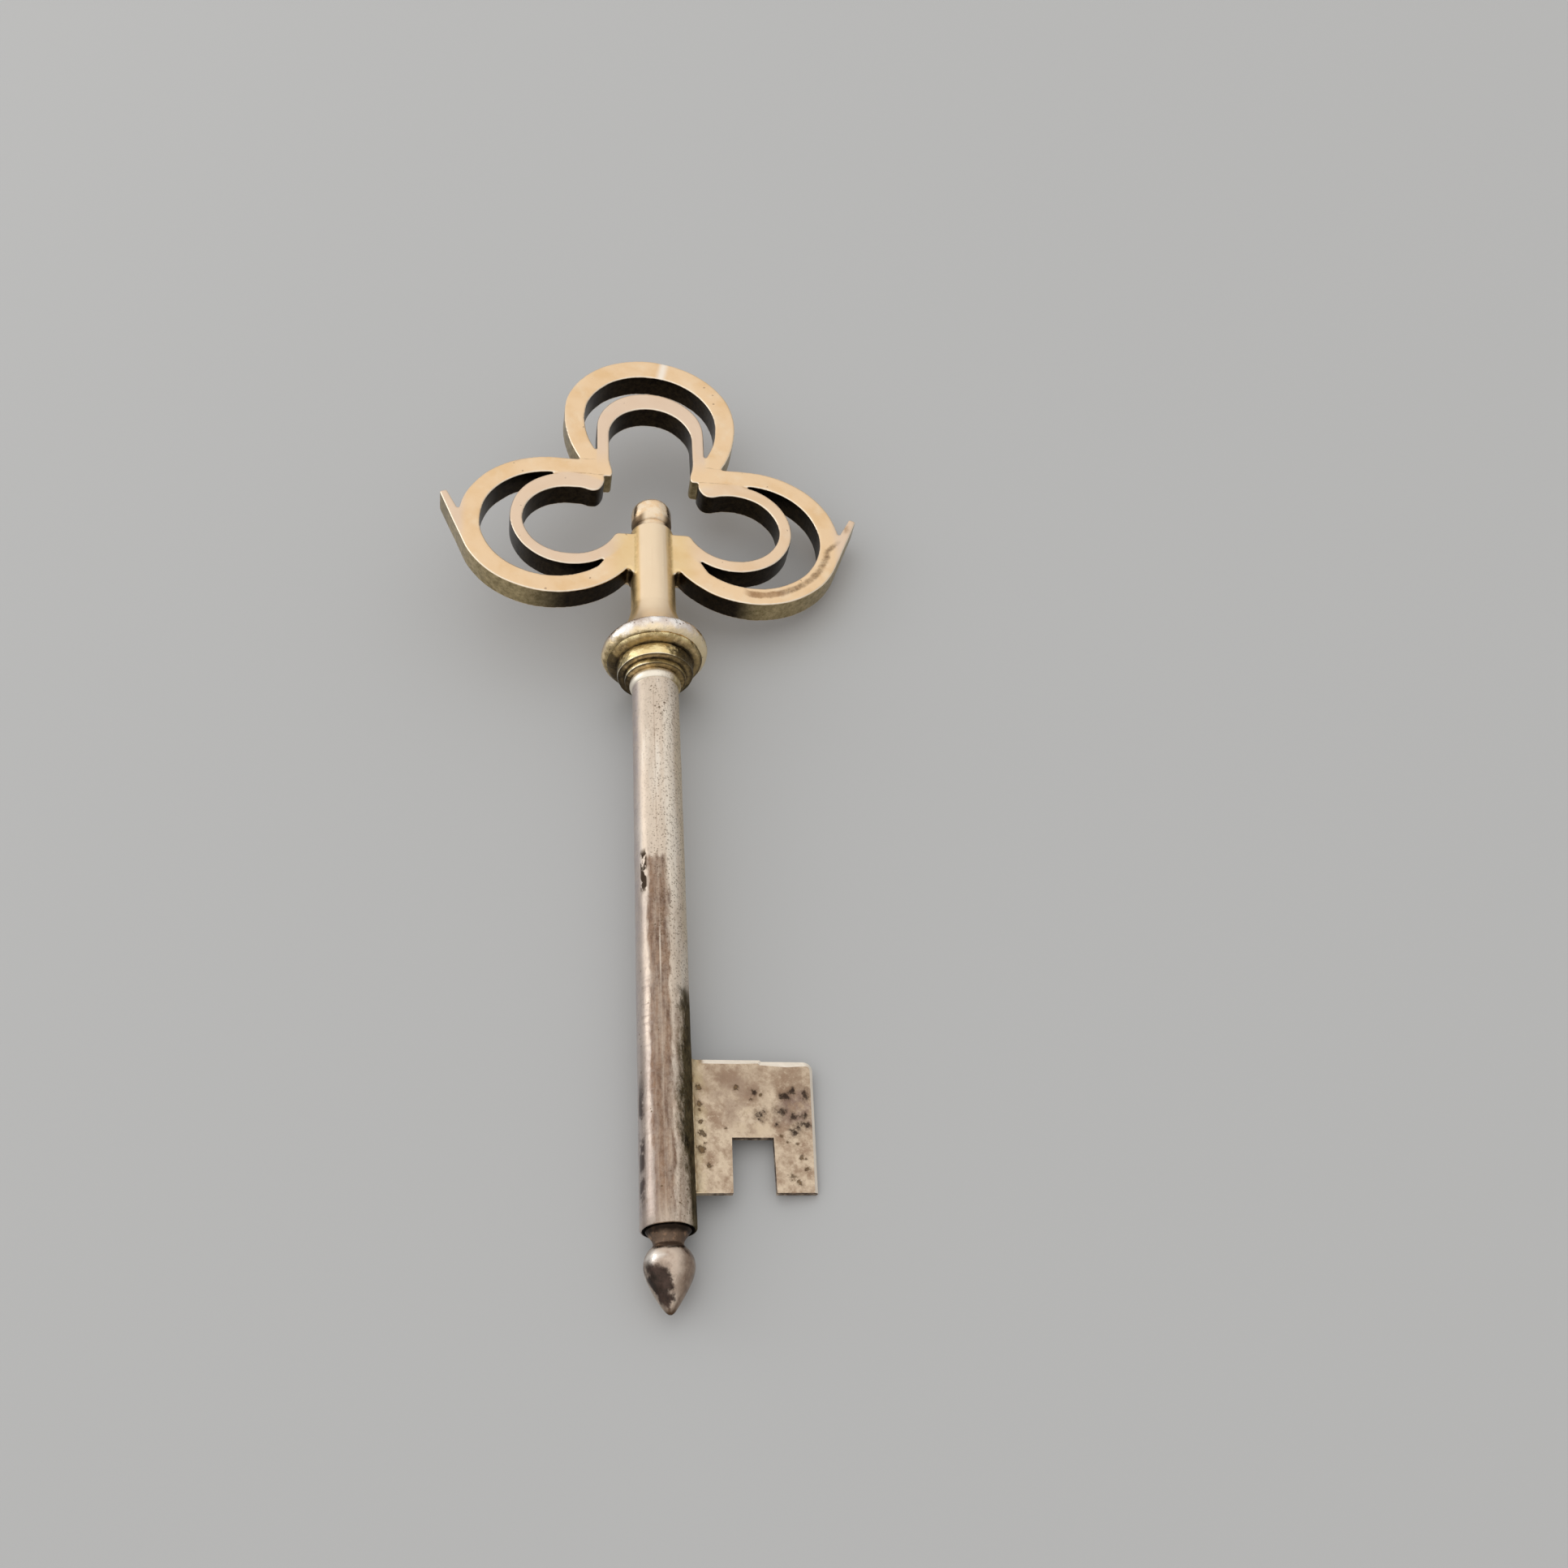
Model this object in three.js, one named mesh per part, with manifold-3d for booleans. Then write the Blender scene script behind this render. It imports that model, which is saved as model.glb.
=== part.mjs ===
// A silver casket key with a trefoil bow, lying at rest on a flat surface.
// The key is modelled straight, along its own axis: +Y runs from the shank's end to the bow,
// +X to the side of the bit, +Z out of the bow's flat face. It is then tipped into the attitude
// in which it lies by itself, on its collar, its finial and the corner of its bit.
// Lengths are in millimetres and angles in degrees.

import * as THREE from 'three';
import { mergeVertices } from 'three/addons/utils/BufferGeometryUtils.js';
import Module from 'manifold-3d';

const wasm = await Module();
wasm.setup();

// Fits shared by all pieces
const solderGap = 0.04;
const edgeBevel = 0.12;

// Shank and the finial at its end
const shankDiameter = 4.0;
const shankBore = 2.4;
const shankLength = 47.3;
const finialLength = 5.65;
const finialDiameter = 3.6;
const finialRootDiameter = 3.3;
const finialTenonLength = 4.0;
// The finial's outline: distance from the shank's end and radius, as shares of its length and radius
const finialShares = [
  [0.05, 0.78], [0.11, 0.64], [0.17, 0.58], [0.205, 0.63], [0.26, 0.83],
  [0.34, 0.96], [0.44, 1.0], [0.56, 0.93], [0.7, 0.72], [0.84, 0.47], [0.93, 0.29], [0.98, 0.16],
];

// Bit plate
const bitReach = 11.0;
const bitStart = 2.6;
const bitLength = 10.2;
const bitThickness = 0.5;
const bitBevel = 0.1;
const bitCornerRadius = 0.7;
const bitTaper = 0.3;
const notchTaper = 0.08;
const bitStepHeight = 0.12;
const bitStepFromAxis = 7.2;
const notchFromAxis = 4.7;
const notchWidth = 3.05;
const notchDepth = 4.1;

// Collar rings, in order from the shank to the bow
const bandDiameter = 4.4;
const bandWidth = 0.76;
// The band's half-round outside: shares of its width and of its rise above the shank
const bandShares = [[0, 0], [0.12, 0.55], [0.3, 0.9], [0.5, 1], [0.7, 0.9], [0.88, 0.55], [1, 0]];
const smallStepDiameter = 5.3;
const smallStepWidth = 0.64;
const largeStepDiameter = 6.56;
const largeStepWidth = 1.2;
const lipDiameter = 8.3;
const lipWidth = 0.36;
const beadDiameter = 9.3;
const beadThickness = 1.84;
const flareDiameter = 7.0;
const flareLength = 3.9;
const flareRimWidth = 0.35;
// The flare's outside, from its rim to the stem: shares of its length and of its overhang
const flareShares = [[0, 1], [0.12, 0.8], [0.28, 0.56], [0.45, 0.36], [0.62, 0.2], [0.8, 0.08], [1, 0]];
const ringEdge = 0.12;

// Core that threads the collar and holds shank and bow together
const coreDiameter = 2.2;
const coreInShank = 8.0;
const coreInStem = 6.5;

// Stem of the bow and its cap
const stemDiameter = 4.0;
const stemBore = 2.4;
const stemLength = 9.25;
const capDiameter = 3.7;
const capNeckDiameter = 3.1;
const capNeckLength = 0.75;
const capLength = 3.6;
const capTenonLength = 2.2;
const capCrownDiameter = 1.6;
const capEdge = 0.35;

// Strips of the bow: all stand on edge, with one height
const stripHeight = 2.34;
const outerStripWidth = 1.92;
const innerStripWidth = 1.16;
const stripRootFromAxis = 1.4;

// Side lobes, given for the side of the bit and mirrored to the other side
const lobeFromAxis = 9.2;
const lobeAboveStemFoot = 9.12;
const lobeRadius = 7.48;
const innerLobeFromAxis = 7.58;
const innerLobeRadius = 4.9;
// The inner lobes were set by hand: each sits a little lower than a ring that touches the outer lobe
const innerLobeDrops = { left: 0.5, right: 0.15 };
const openingFlattening = 0.12;
const innerTailLength = 3.15;
// The tail's underside, from the lobe to its blunt end: shares of its length and of the strip's width
const tailShares = [[0.35, 1.22], [0.62, 1.52], [0.84, 1.3], [0.97, 0.72], [0.99, 0.2], [0.93, 0]];
const noseHeight = 1.15;
const noseRounding = 0.45;

// Horn strip of a side lobe: it passes under the lobe and runs on as a spur
const hornTangentAngle = -22;
const hornLength = 6.5;
const hornTipWidth = 0.66;
const footWebAngle = 230;
const footToeAngle = 208;
// The scarf between lobe strip and horn strip: angle about the lobe's centre, share of the strip's width
const scarfShares = [
  [4, 1], [-2.3, 0.69], [-9.5, 0.42], [-25, 0.38], [-50, 0.42], [-75, 0.41], [-92, 0.38], [-104, 0.08],
];
const scarfLandAngle = 2;

// Top lobe: an outer hoop and an inner arch with legs
const hoopRadius = 7.36;
const hoopAboveLobe = 14.45;
const hoopCrestExtra = 0.42;
const hoopNotchFromAxis = 6.68;
const hoopClosingHeight = 1.05;
const archOpening = 8.0;
const archAboveLobe = 12.2;
const archCrestExtra = 0.98;
const archToe = 0.3;
const archToeHeight = 2.4;
// The toe's outline, from its sole up to the leg: shares of its depth and of its height
const archToeShares = [[0.5, 0], [0, 0.12], [0, 0.33], [0.75, 0.7], [1, 1]];

// Drawing steps
const arcStep = 7.5;
const latheSegments = 40;
const cutOverrun = 1.0;

// Derived stations along the axis, measured from the shank's end
const bandStation = shankLength + solderGap;
const smallStepStation = bandStation + bandWidth + solderGap;
const largeStepStation = smallStepStation + smallStepWidth + solderGap;
const lipStation = largeStepStation + largeStepWidth + solderGap;
const beadStation = lipStation + lipWidth + solderGap + beadThickness / 2;
const flareStation = beadStation + beadThickness / 2 + solderGap;
const stemStation = flareStation + flareLength + solderGap;
const stemEnd = stemStation + stemLength;
const lobeStation = stemStation + lobeAboveStemFoot;
const hoopStation = lobeStation + hoopAboveLobe;
const archStation = lobeStation + archAboveLobe;

// Derived radii
const shankRadius = shankDiameter / 2;
const stemRadius = stemDiameter / 2;
const coreRadius = coreDiameter / 2;
const ringBore = coreRadius + solderGap;
const lobeInside = lobeRadius - outerStripWidth / 2;
const lobeOutside = lobeRadius + outerStripWidth / 2;
const innerLobeInside = innerLobeRadius - innerStripWidth / 2;
const innerLobeOutside = innerLobeRadius + innerStripWidth / 2;
const innerLobeTop = lobeStation + lobeInside - solderGap;
const archInside = archOpening / 2;
const archOutside = archInside + innerStripWidth;

const radians = THREE.MathUtils.degToRad;

// Finishes
const silver = new THREE.MeshStandardMaterial({ color: 0xcfc4b8, roughness: 0.32, metalness: 1.0 });
const dulledSilver = new THREE.MeshStandardMaterial({ color: 0xb9a892, roughness: 0.48, metalness: 1.0 });
const gilt = new THREE.MeshStandardMaterial({ color: 0xe2c48e, roughness: 0.36, metalness: 1.0 });
const paleGilt = new THREE.MeshStandardMaterial({ color: 0xe6cfb0, roughness: 0.38, metalness: 1.0 });

// Points of an arc about a centre, from one angle to another, ends included
function arc(x, y, radius, fromAngle, toAngle) {
  const steps = Math.max(1, Math.ceil(Math.abs(toAngle - fromAngle) / arcStep));
  const points = [];
  for (let i = 0; i <= steps; i += 1) {
    const angle = radians(fromAngle + (toAngle - fromAngle) * i / steps);
    points.push(new THREE.Vector2(x + radius * Math.cos(angle), y + radius * Math.sin(angle)));
  }
  return points;
}

// The same with different half-widths across and along the key
function oval(x, y, across, along, fromAngle, toAngle) {
  return arc(0, 0, across, fromAngle, toAngle).map((p) => point(x + p.x, y + p.y * along / across));
}

// Points of an arc that starts upright at (x, y) and ends lower down, at (endX, endY)
function limb(x, y, endX, endY) {
  const across = x - endX;
  const along = y - endY;
  const radius = (across * across + along * along) / (2 * across);
  const sweep = THREE.MathUtils.radToDeg(Math.asin(along / Math.abs(radius)));
  return arc(x - radius, y, radius, 0, -sweep);
}

function point(x, y) {
  return new THREE.Vector2(x, y);
}

function mirrored(points) {
  return points.map((p) => point(-p.x, p.y)).reverse();
}

// A flat outline raised to a height, centred on the key's mid-plane, with bevelled edges
function slab(points, height, bevel) {
  const geometry = new THREE.ExtrudeGeometry(new THREE.Shape(points), {
    depth: height - 2 * bevel,
    bevelThickness: bevel,
    bevelSize: bevel,
    bevelOffset: -bevel,
    bevelSegments: 1,
  });
  return geometry.translate(0, 0, bevel - height / 2);
}

// A turned piece: pairs of station and radius, from the shank's side to the bow's side
function turned(profile) {
  const points = profile.map(([station, radius]) => point(radius, station));
  return new THREE.LatheGeometry(points, latheSegments);
}

// A turned ring with its bore: the outside profile, closed along the bore
function ring(outside, boreRadius) {
  const first = outside[0];
  const last = outside[outside.length - 1];
  return turned([[first[0], boreRadius], ...outside, [last[0], boreRadius], [first[0], boreRadius]]);
}

// Outside profile of a plain ring with broken edges
function ringProfile(station, width, diameter, edge) {
  const radius = diameter / 2;
  return [
    [station, radius - edge],
    [station + edge, radius],
    [station + width - edge, radius],
    [station + width, radius - edge],
  ];
}

function solidOf(geometry) {
  const plain = geometry.clone();
  plain.deleteAttribute('normal');
  plain.deleteAttribute('uv');
  const merged = mergeVertices(plain);
  return new wasm.Manifold(new wasm.Mesh({
    numProp: 3,
    vertProperties: merged.attributes.position.array,
    triVerts: new Uint32Array(merged.index.array),
  }));
}

function geometryOf(solid) {
  const mesh = solid.getMesh();
  const geometry = new THREE.BufferGeometry();
  geometry.setAttribute('position', new THREE.BufferAttribute(mesh.vertProperties, 3));
  geometry.setIndex(new THREE.BufferAttribute(mesh.triVerts, 1));
  geometry.computeVertexNormals();
  return geometry;
}

// Cuts a saddle into a piece so that it seats on a round bar along the axis
function seatedOnBar(geometry, barRadius, fromStation, toStation) {
  const bar = turned([
    [fromStation - cutOverrun, 0],
    [fromStation - cutOverrun, barRadius + solderGap],
    [toStation + cutOverrun, barRadius + solderGap],
    [toStation + cutOverrun, 0],
  ]);
  return geometryOf(solidOf(geometry).subtract(solidOf(bar)));
}

// The scarf line of the side lobes, kept apart from it by a clearance
function scarf(clearance) {
  const line = new THREE.SplineCurve(scarfShares.map(([angle, share]) => {
    const radius = lobeInside + share * outerStripWidth + clearance;
    return point(radius * Math.cos(radians(angle)), radius * Math.sin(radians(angle)));
  }));
  const steps = 2 * scarfShares.length;
  return line.getPoints(steps).map((p) => point(p.x + lobeFromAxis, p.y + lobeStation));
}

// Turned pieces

function shankTube() {
  const radius = shankDiameter / 2;
  return ring([[0, radius - ringEdge], [ringEdge, radius], [shankLength, radius]], shankBore / 2);
}

function tipFinial() {
  const radius = finialDiameter / 2;
  const tenon = shankBore / 2 - solderGap;
  const outline = finialShares.map(([along, across]) => [-along * finialLength, across * radius]);
  return turned([
    [-finialLength, 0],
    ...outline.reverse(),
    [-solderGap, finialRootDiameter / 2],
    [-solderGap, tenon],
    [finialTenonLength, tenon],
    [finialTenonLength, 0],
  ]);
}

function shankBand() {
  const rise = bandDiameter / 2 - shankRadius;
  const outside = bandShares.map(([along, up]) => [bandStation + along * bandWidth, shankRadius + up * rise]);
  return ring(outside, ringBore);
}

function collarSmallStep() {
  return ring(ringProfile(smallStepStation, smallStepWidth, smallStepDiameter, ringEdge), ringBore);
}

function collarLargeStep() {
  return ring(ringProfile(largeStepStation, largeStepWidth, largeStepDiameter, ringEdge), ringBore);
}

function collarLip() {
  return ring(ringProfile(lipStation, lipWidth, lipDiameter, ringEdge), ringBore);
}

// A full round bead on a short hub that reaches in to the core
function collarBead() {
  const round = beadThickness / 2;
  const centre = beadDiameter / 2 - round;
  const outside = arc(beadStation, centre, round, 180, 0).map((p) => [p.x, p.y]);
  return ring(outside, ringBore);
}

// A trumpet from the bead down to the stem
function collarFlare() {
  const overhang = flareDiameter / 2 - stemRadius;
  const start = flareStation + flareRimWidth;
  const length = flareLength - flareRimWidth;
  const outside = flareShares.map(([along, across]) => [start + along * length, stemRadius + across * overhang]);
  return ring([[flareStation, flareDiameter / 2], ...outside], ringBore);
}

function collarCore() {
  return turned([
    [shankLength - coreInShank, 0],
    [shankLength - coreInShank, coreRadius],
    [stemStation + coreInStem, coreRadius],
    [stemStation + coreInStem, 0],
  ]);
}

function bowStem() {
  const radius = stemRadius;
  return ring([[stemStation, radius], [stemEnd - ringEdge, radius], [stemEnd, radius - ringEdge]], stemBore / 2);
}

// A plug in the stem's open end, with a neck and a domed head
function stemCap() {
  const tenon = stemBore / 2 - solderGap;
  const foot = stemEnd + solderGap;
  const head = foot + capNeckLength;
  const top = foot + capLength;
  const radius = capDiameter / 2;
  const crown = capCrownDiameter / 2;
  const rounding = radius - crown;
  const dome = arc(crown, top - rounding, rounding, 0, 90).map((p) => [p.y, p.x]);
  return turned([
    [stemEnd - capTenonLength, 0],
    [stemEnd - capTenonLength, tenon],
    [foot, tenon],
    [foot, capNeckDiameter / 2],
    [head, capNeckDiameter / 2],
    [head + capEdge, radius],
    ...dome,
    [top, 0],
  ]);
}

// The bit: a thin plate with a ward notch in the edge that faces the finial
function bitPlate() {
  const low = bitStart;
  const high = bitStart + bitLength;
  const right = bitReach;
  const lowRight = bitReach - bitTaper;
  const corner = bitCornerRadius;
  const outline = [
    point(0, low),
    point(notchFromAxis - notchTaper, low),
    point(notchFromAxis, low + notchDepth),
    point(notchFromAxis + notchWidth, low + notchDepth),
    point(notchFromAxis + notchWidth, low),
    point(lowRight, low),
    ...arc(right - corner, high - bitStepHeight - corner, corner, 0, 90),
    point(bitStepFromAxis, high - bitStepHeight),
    point(bitStepFromAxis - bitStepHeight, high),
    point(0, high),
  ];
  const plate = slab(outline, bitThickness, bitBevel);
  return seatedOnBar(plate, shankRadius, low, high);
}

// Strips of the bow, for the side of the bit

function lobeStripOutline() {
  const end = archOutside + solderGap;
  const finish = scarfShares[scarfShares.length - 1][0];
  return [
    point(end, lobeStation + lobeOutside),
    ...arc(lobeFromAxis, lobeStation, lobeOutside, 90, finish),
    ...arc(lobeFromAxis, lobeStation, lobeInside, finish, 90),
    point(end, lobeStation + lobeInside),
  ];
}

// What the scarf takes off the lobe strip: everything outside the scarf line
function scarfCutOutline() {
  const start = scarfShares[0][0];
  const finish = scarfShares[scarfShares.length - 1][0] - arcStep;
  return [
    ...scarf(0),
    ...arc(lobeFromAxis, lobeStation, lobeOutside + cutOverrun, finish, start),
  ];
}

// Where an inner lobe's outside and its opening lie, as it was set on one side of the stem
function innerLobeSetting(side) {
  const drop = side < 0 ? innerLobeDrops.left : innerLobeDrops.right;
  const halfLength = innerLobeOutside + drop / 2;
  return {
    outsideStation: innerLobeTop - halfLength,
    halfLength,
    openingStation: innerLobeTop - innerLobeOutside - drop,
    openingHalfLength: innerLobeInside - openingFlattening,
    tailWidth: innerStripWidth + drop / 2,
  };
}

function hornStripOutline(side) {
  const { outsideStation, halfLength } = innerLobeSetting(side);
  const tangent = radians(hornTangentAngle);
  const leaving = point(Math.cos(tangent), Math.sin(tangent));
  const running = point(-leaving.y, leaving.x);
  const outerTip = point(lobeFromAxis, lobeStation)
    .addScaledVector(leaving, lobeOutside)
    .addScaledVector(running, hornLength);
  const innerTip = outerTip.clone().addScaledVector(leaving, -hornTipWidth);
  const toe = oval(innerLobeFromAxis, outsideStation, innerLobeOutside + solderGap,
    halfLength + solderGap, footWebAngle, footToeAngle);
  const toeHeight = toe[toe.length - 1].y;
  const outerStart = 360 - THREE.MathUtils.radToDeg(Math.acos((stripRootFromAxis - lobeFromAxis) / lobeOutside));
  const finish = scarfShares[scarfShares.length - 1][0];
  return [
    ...arc(lobeFromAxis, lobeStation, lobeOutside, outerStart, 360 + hornTangentAngle),
    outerTip,
    innerTip,
    ...scarf(solderGap),
    ...arc(lobeFromAxis, lobeStation, lobeInside, 360 + finish - scarfLandAngle, footWebAngle),
    ...toe,
    point(stripRootFromAxis, toeHeight),
  ];
}

function innerStripOutline(side) {
  const { outsideStation, halfLength, openingStation, openingHalfLength, tailWidth } = innerLobeSetting(side);
  const x = innerLobeFromAxis;
  const toeHeight = outsideStation + halfLength * Math.sin(radians(footToeAngle));
  const noseTop = toeHeight + noseHeight;
  const noseSine = (noseTop - noseRounding - openingStation) / openingHalfLength;
  const noseAngle = 180 - THREE.MathUtils.radToDeg(Math.asin(noseSine));
  const noseEdge = x + innerLobeInside * Math.cos(radians(noseAngle));
  // The tail runs straight on from the lobe's top, with a swelling below and a blunt end
  const tail = tailShares.map(([along, depth]) => (
    point(x - along * innerTailLength, innerLobeTop - depth * tailWidth)));
  return [
    ...tail.reverse(),
    ...oval(x, openingStation, innerLobeInside, openingHalfLength, 90, noseAngle - 360),
    ...arc(noseEdge - noseRounding, noseTop - noseRounding, noseRounding, 0, 90),
    point(stripRootFromAxis, noseTop),
    point(stripRootFromAxis, toeHeight),
    ...oval(x, outsideStation, innerLobeOutside, halfLength, footToeAngle - 360, 90),
  ];
}

function hoopOutline() {
  const outside = hoopRadius + outerStripWidth / 2;
  const inside = hoopRadius - outerStripWidth / 2;
  const foot = lobeStation + lobeOutside + solderGap;
  const leg = archOutside + solderGap;
  const crest = hoopStation + hoopCrestExtra;
  const outerLimb = limb(outside, crest, hoopNotchFromAxis, foot);
  const innerLimb = limb(inside, hoopStation, leg, foot + hoopClosingHeight);
  return [
    ...mirrored(outerLimb),
    ...arc(0, crest, outside, 180, 0).slice(1, -1),
    ...outerLimb,
    point(leg, foot),
    ...innerLimb.slice().reverse(),
    ...arc(0, hoopStation, inside, 0, 180).slice(1, -1),
    ...innerLimb.map((p) => point(-p.x, p.y)),
    point(-leg, foot),
  ];
}

function archOutline() {
  const foot = lobeStation + lobeInside;
  const toe = archInside - archToe;
  const sole = archToeShares.map(([inward, up]) => point(toe + inward * archToe, foot + up * archToeHeight));
  const halfLeg = [point(archOutside, foot), ...sole];
  return [
    ...halfLeg,
    ...arc(0, archStation, archInside, 0, 180),
    ...mirrored(halfLeg),
    ...arc(0, archStation + archCrestExtra, archOutside, 180, 0),
  ];
}

// Strips for one side of the bow: side is 1 for the side of the bit and -1 for the other

function sideOutline(outline, side) {
  return side < 0 ? mirrored(outline) : outline;
}

function stripToStem(outline, side) {
  const strip = slab(sideOutline(outline, side), stripHeight, edgeBevel);
  return seatedOnBar(strip, stemRadius, stemStation, stemEnd);
}

function lobeStrip(side) {
  const strip = slab(sideOutline(lobeStripOutline(), side), stripHeight, edgeBevel);
  const cut = slab(sideOutline(scarfCutOutline(), side), stripHeight + 2 * cutOverrun, 0);
  return geometryOf(solidOf(strip).subtract(solidOf(cut)));
}

// Assembly

const key = new THREE.Group();

function addPiece(name, geometry, material) {
  const mesh = new THREE.Mesh(geometry, material);
  mesh.name = name;
  key.add(mesh);
}

addPiece('shank_tube', shankTube(), silver);
addPiece('tip_finial', tipFinial(), silver);
addPiece('bit_plate', bitPlate(), dulledSilver);
addPiece('shank_band', shankBand(), silver);
addPiece('collar_small_step', collarSmallStep(), gilt);
addPiece('collar_large_step', collarLargeStep(), gilt);
addPiece('collar_lip', collarLip(), gilt);
addPiece('collar_bead', collarBead(), silver);
addPiece('collar_flare', collarFlare(), gilt);
addPiece('collar_core', collarCore(), dulledSilver);
addPiece('bow_stem', bowStem(), gilt);
addPiece('stem_cap', stemCap(), gilt);
addPiece('bow_top_hoop', slab(hoopOutline(), stripHeight, edgeBevel), gilt);
addPiece('bow_top_arch', slab(archOutline(), stripHeight, edgeBevel), paleGilt);
for (const [word, side] of [['left', -1], ['right', 1]]) {
  addPiece(`bow_${word}_lobe`, lobeStrip(side), gilt);
  addPiece(`bow_${word}_horn`, stripToStem(hornStripOutline(side), side), gilt);
  addPiece(`bow_${word}_inner`, stripToStem(innerStripOutline(side), side), paleGilt);
}

// Resting attitude: the axis rises from the finial's belly to the collar's bead, and the key
// rolls about its axis until the far corner of the bit touches the surface
const bellyRadius = finialDiameter / 2;
const bellyShare = finialShares.find(([, across]) => across === 1)[0];
const bellyStation = -bellyShare * finialLength;
const axisSlope = (beadDiameter / 2 - bellyRadius) / (beadStation - bellyStation);
const axisHeightAtBit = bellyRadius + (bitStart - bellyStation) * axisSlope;
const cornerReach = bitReach - bitTaper;
const cornerDrop = bitThickness / 2;
const roll = Math.asin(axisHeightAtBit / Math.hypot(cornerReach, cornerDrop)) - Math.atan2(cornerDrop, cornerReach);
key.rotation.y = roll;

const resting = new THREE.Group();
resting.add(key);
resting.rotation.x = Math.atan(axisSlope);

// The origin is the middle of the key's footprint, on the surface that it lies on
const part = new THREE.Group();
part.add(resting);
part.updateMatrixWorld(true);
const extent = new THREE.Box3().setFromObject(part, true);
const middle = extent.getCenter(new THREE.Vector3());
resting.position.set(-middle.x, -middle.y, -extent.min.z);

export default part;
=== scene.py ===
import math

import bmesh
import bpy
from mathutils import Matrix, Vector, noise


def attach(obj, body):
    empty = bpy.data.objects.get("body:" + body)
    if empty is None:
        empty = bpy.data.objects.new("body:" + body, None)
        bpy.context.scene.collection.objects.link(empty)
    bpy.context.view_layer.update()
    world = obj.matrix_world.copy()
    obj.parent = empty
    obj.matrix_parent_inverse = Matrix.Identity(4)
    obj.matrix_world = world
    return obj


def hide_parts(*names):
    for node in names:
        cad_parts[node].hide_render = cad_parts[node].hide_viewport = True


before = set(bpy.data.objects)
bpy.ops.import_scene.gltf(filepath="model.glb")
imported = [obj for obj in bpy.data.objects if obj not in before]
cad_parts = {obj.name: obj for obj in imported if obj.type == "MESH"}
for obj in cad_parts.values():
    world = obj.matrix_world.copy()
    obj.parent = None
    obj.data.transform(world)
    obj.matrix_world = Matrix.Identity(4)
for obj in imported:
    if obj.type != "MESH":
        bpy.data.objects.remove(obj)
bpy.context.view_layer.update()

# How the key lies: it rises to the bow and is rolled onto the corner of its bit
KEY_RISE = math.radians(3.0287)
KEY_ROLL = math.radians(9.8080)
KEY_PLACE = Vector((0.0, -41.4394, 1.9907))
MILLIMETRE = 0.001
KEY_TURN = Matrix.Rotation(KEY_RISE, 4, "X") @ Matrix.Rotation(KEY_ROLL, 4, "Y")
LYING = Matrix.Scale(MILLIMETRE, 4) @ Matrix.Translation(KEY_PLACE) @ KEY_TURN

# From here on all lengths are in millimetres and all angles in degrees, until the finishes

# Shank, finial and bit
SHANK_RADIUS = 2.0
SHANK_LENGTH = 47.3
FINIAL_LENGTH = 5.65
FINIAL_RADIUS = 1.8
# Share of the length from the neck, share of the radius
FINIAL_OUTLINE = [
    (0.05, 0.78), (0.11, 0.64), (0.17, 0.58), (0.205, 0.63), (0.26, 0.83), (0.34, 0.96),
    (0.44, 1.0), (0.56, 0.93), (0.7, 0.72), (0.84, 0.47), (0.93, 0.29), (0.98, 0.16),
]
BIT_REACH = 11.0
BIT_START = 2.6
BIT_END = 12.8
BIT_THICKNESS = 0.5
BIT_TAPER = 0.3
BIT_CORNER = 0.7
BIT_STEP = (7.2, 0.12)
NOTCH = (4.7, 7.75)
NOTCH_DEPTH = 4.1
SLOPE_WIDTH = 0.4
SLOPE_DEPTH = 0.17

# Collar rings: first station, last station, radius
BAND = (47.34, 48.26, 2.22)
SMALL_STEP = (48.30, 48.78, 2.65)
LARGE_STEP = (48.82, 50.02, 3.28)
LIP = (50.06, 50.42, 4.15)
BEAD = (50.46, 52.30, 4.65)
FLARE = (52.34, 56.24, 3.5)
FLARE_RIM = 0.35
RING_BORE = 1.14

# Bow
STEM = (56.28, 65.53)
STEM_RADIUS = 2.0
CAP_LENGTH = 3.6
CAP_RADIUS = 1.85
CAP_NECK_RADIUS = 1.55
CAP_NECK = 0.75
STRIP_HEIGHT = 2.34
OUTER_WIDTH = 1.92
INNER_WIDTH = 1.16
LOBE_CENTRE = (9.2, 65.40)
LOBE_RADIUS = 7.48
LOBE_SWEEP = -247
SPUR_BEARING = -22
SPUR_LENGTH = 6.5
INNER_CENTRE_X = 7.58
INNER_RADIUS = 4.9
INNER_DROP = {-1: 0.5, 1: 0.15}
HOOP_STATION = 79.85
HOOP_RADIUS = 7.36
HOOP_CREST = 0.42
ARCH_STATION = 77.60
ARCH_RADIUS = 4.58
ARCH_CREST = 0.98
# Drops of solder in the corners of the strips: across, along, up, radius
SOLDER_DROPS = [(6.75, 73.95, 0, 0.4), (17.55, 66.1, 0.2, 0.4), (2.0, 64.2, 0.9, 0.3)]
# Where solder shows bright in the corner of horn and stem
SOLDER_SPOT = Vector((2.16, 60.35, 1.17))


# Making and placing pieces


def laid_down(mesh, name, finish, slot, *nodes):
    """Lays a mesh made in the key's millimetres down as the frame holds the key, as a piece of its own."""
    mesh.transform(LYING)
    mesh.materials.clear()
    mesh.materials.append(finish)
    piece = bpy.data.objects.new(name, mesh)
    bpy.context.scene.collection.objects.link(piece)
    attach(piece, "root")
    if nodes:
        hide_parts(*nodes)
    return piece


def smooth_shaded(bm, sharp_above=38):
    """Shades smoothly, with a crease where the surface turns sharply."""
    for face in bm.faces:
        face.smooth = True
    for edge in bm.edges:
        edge.smooth = edge.calc_face_angle(0) < math.radians(sharp_above)


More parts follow.
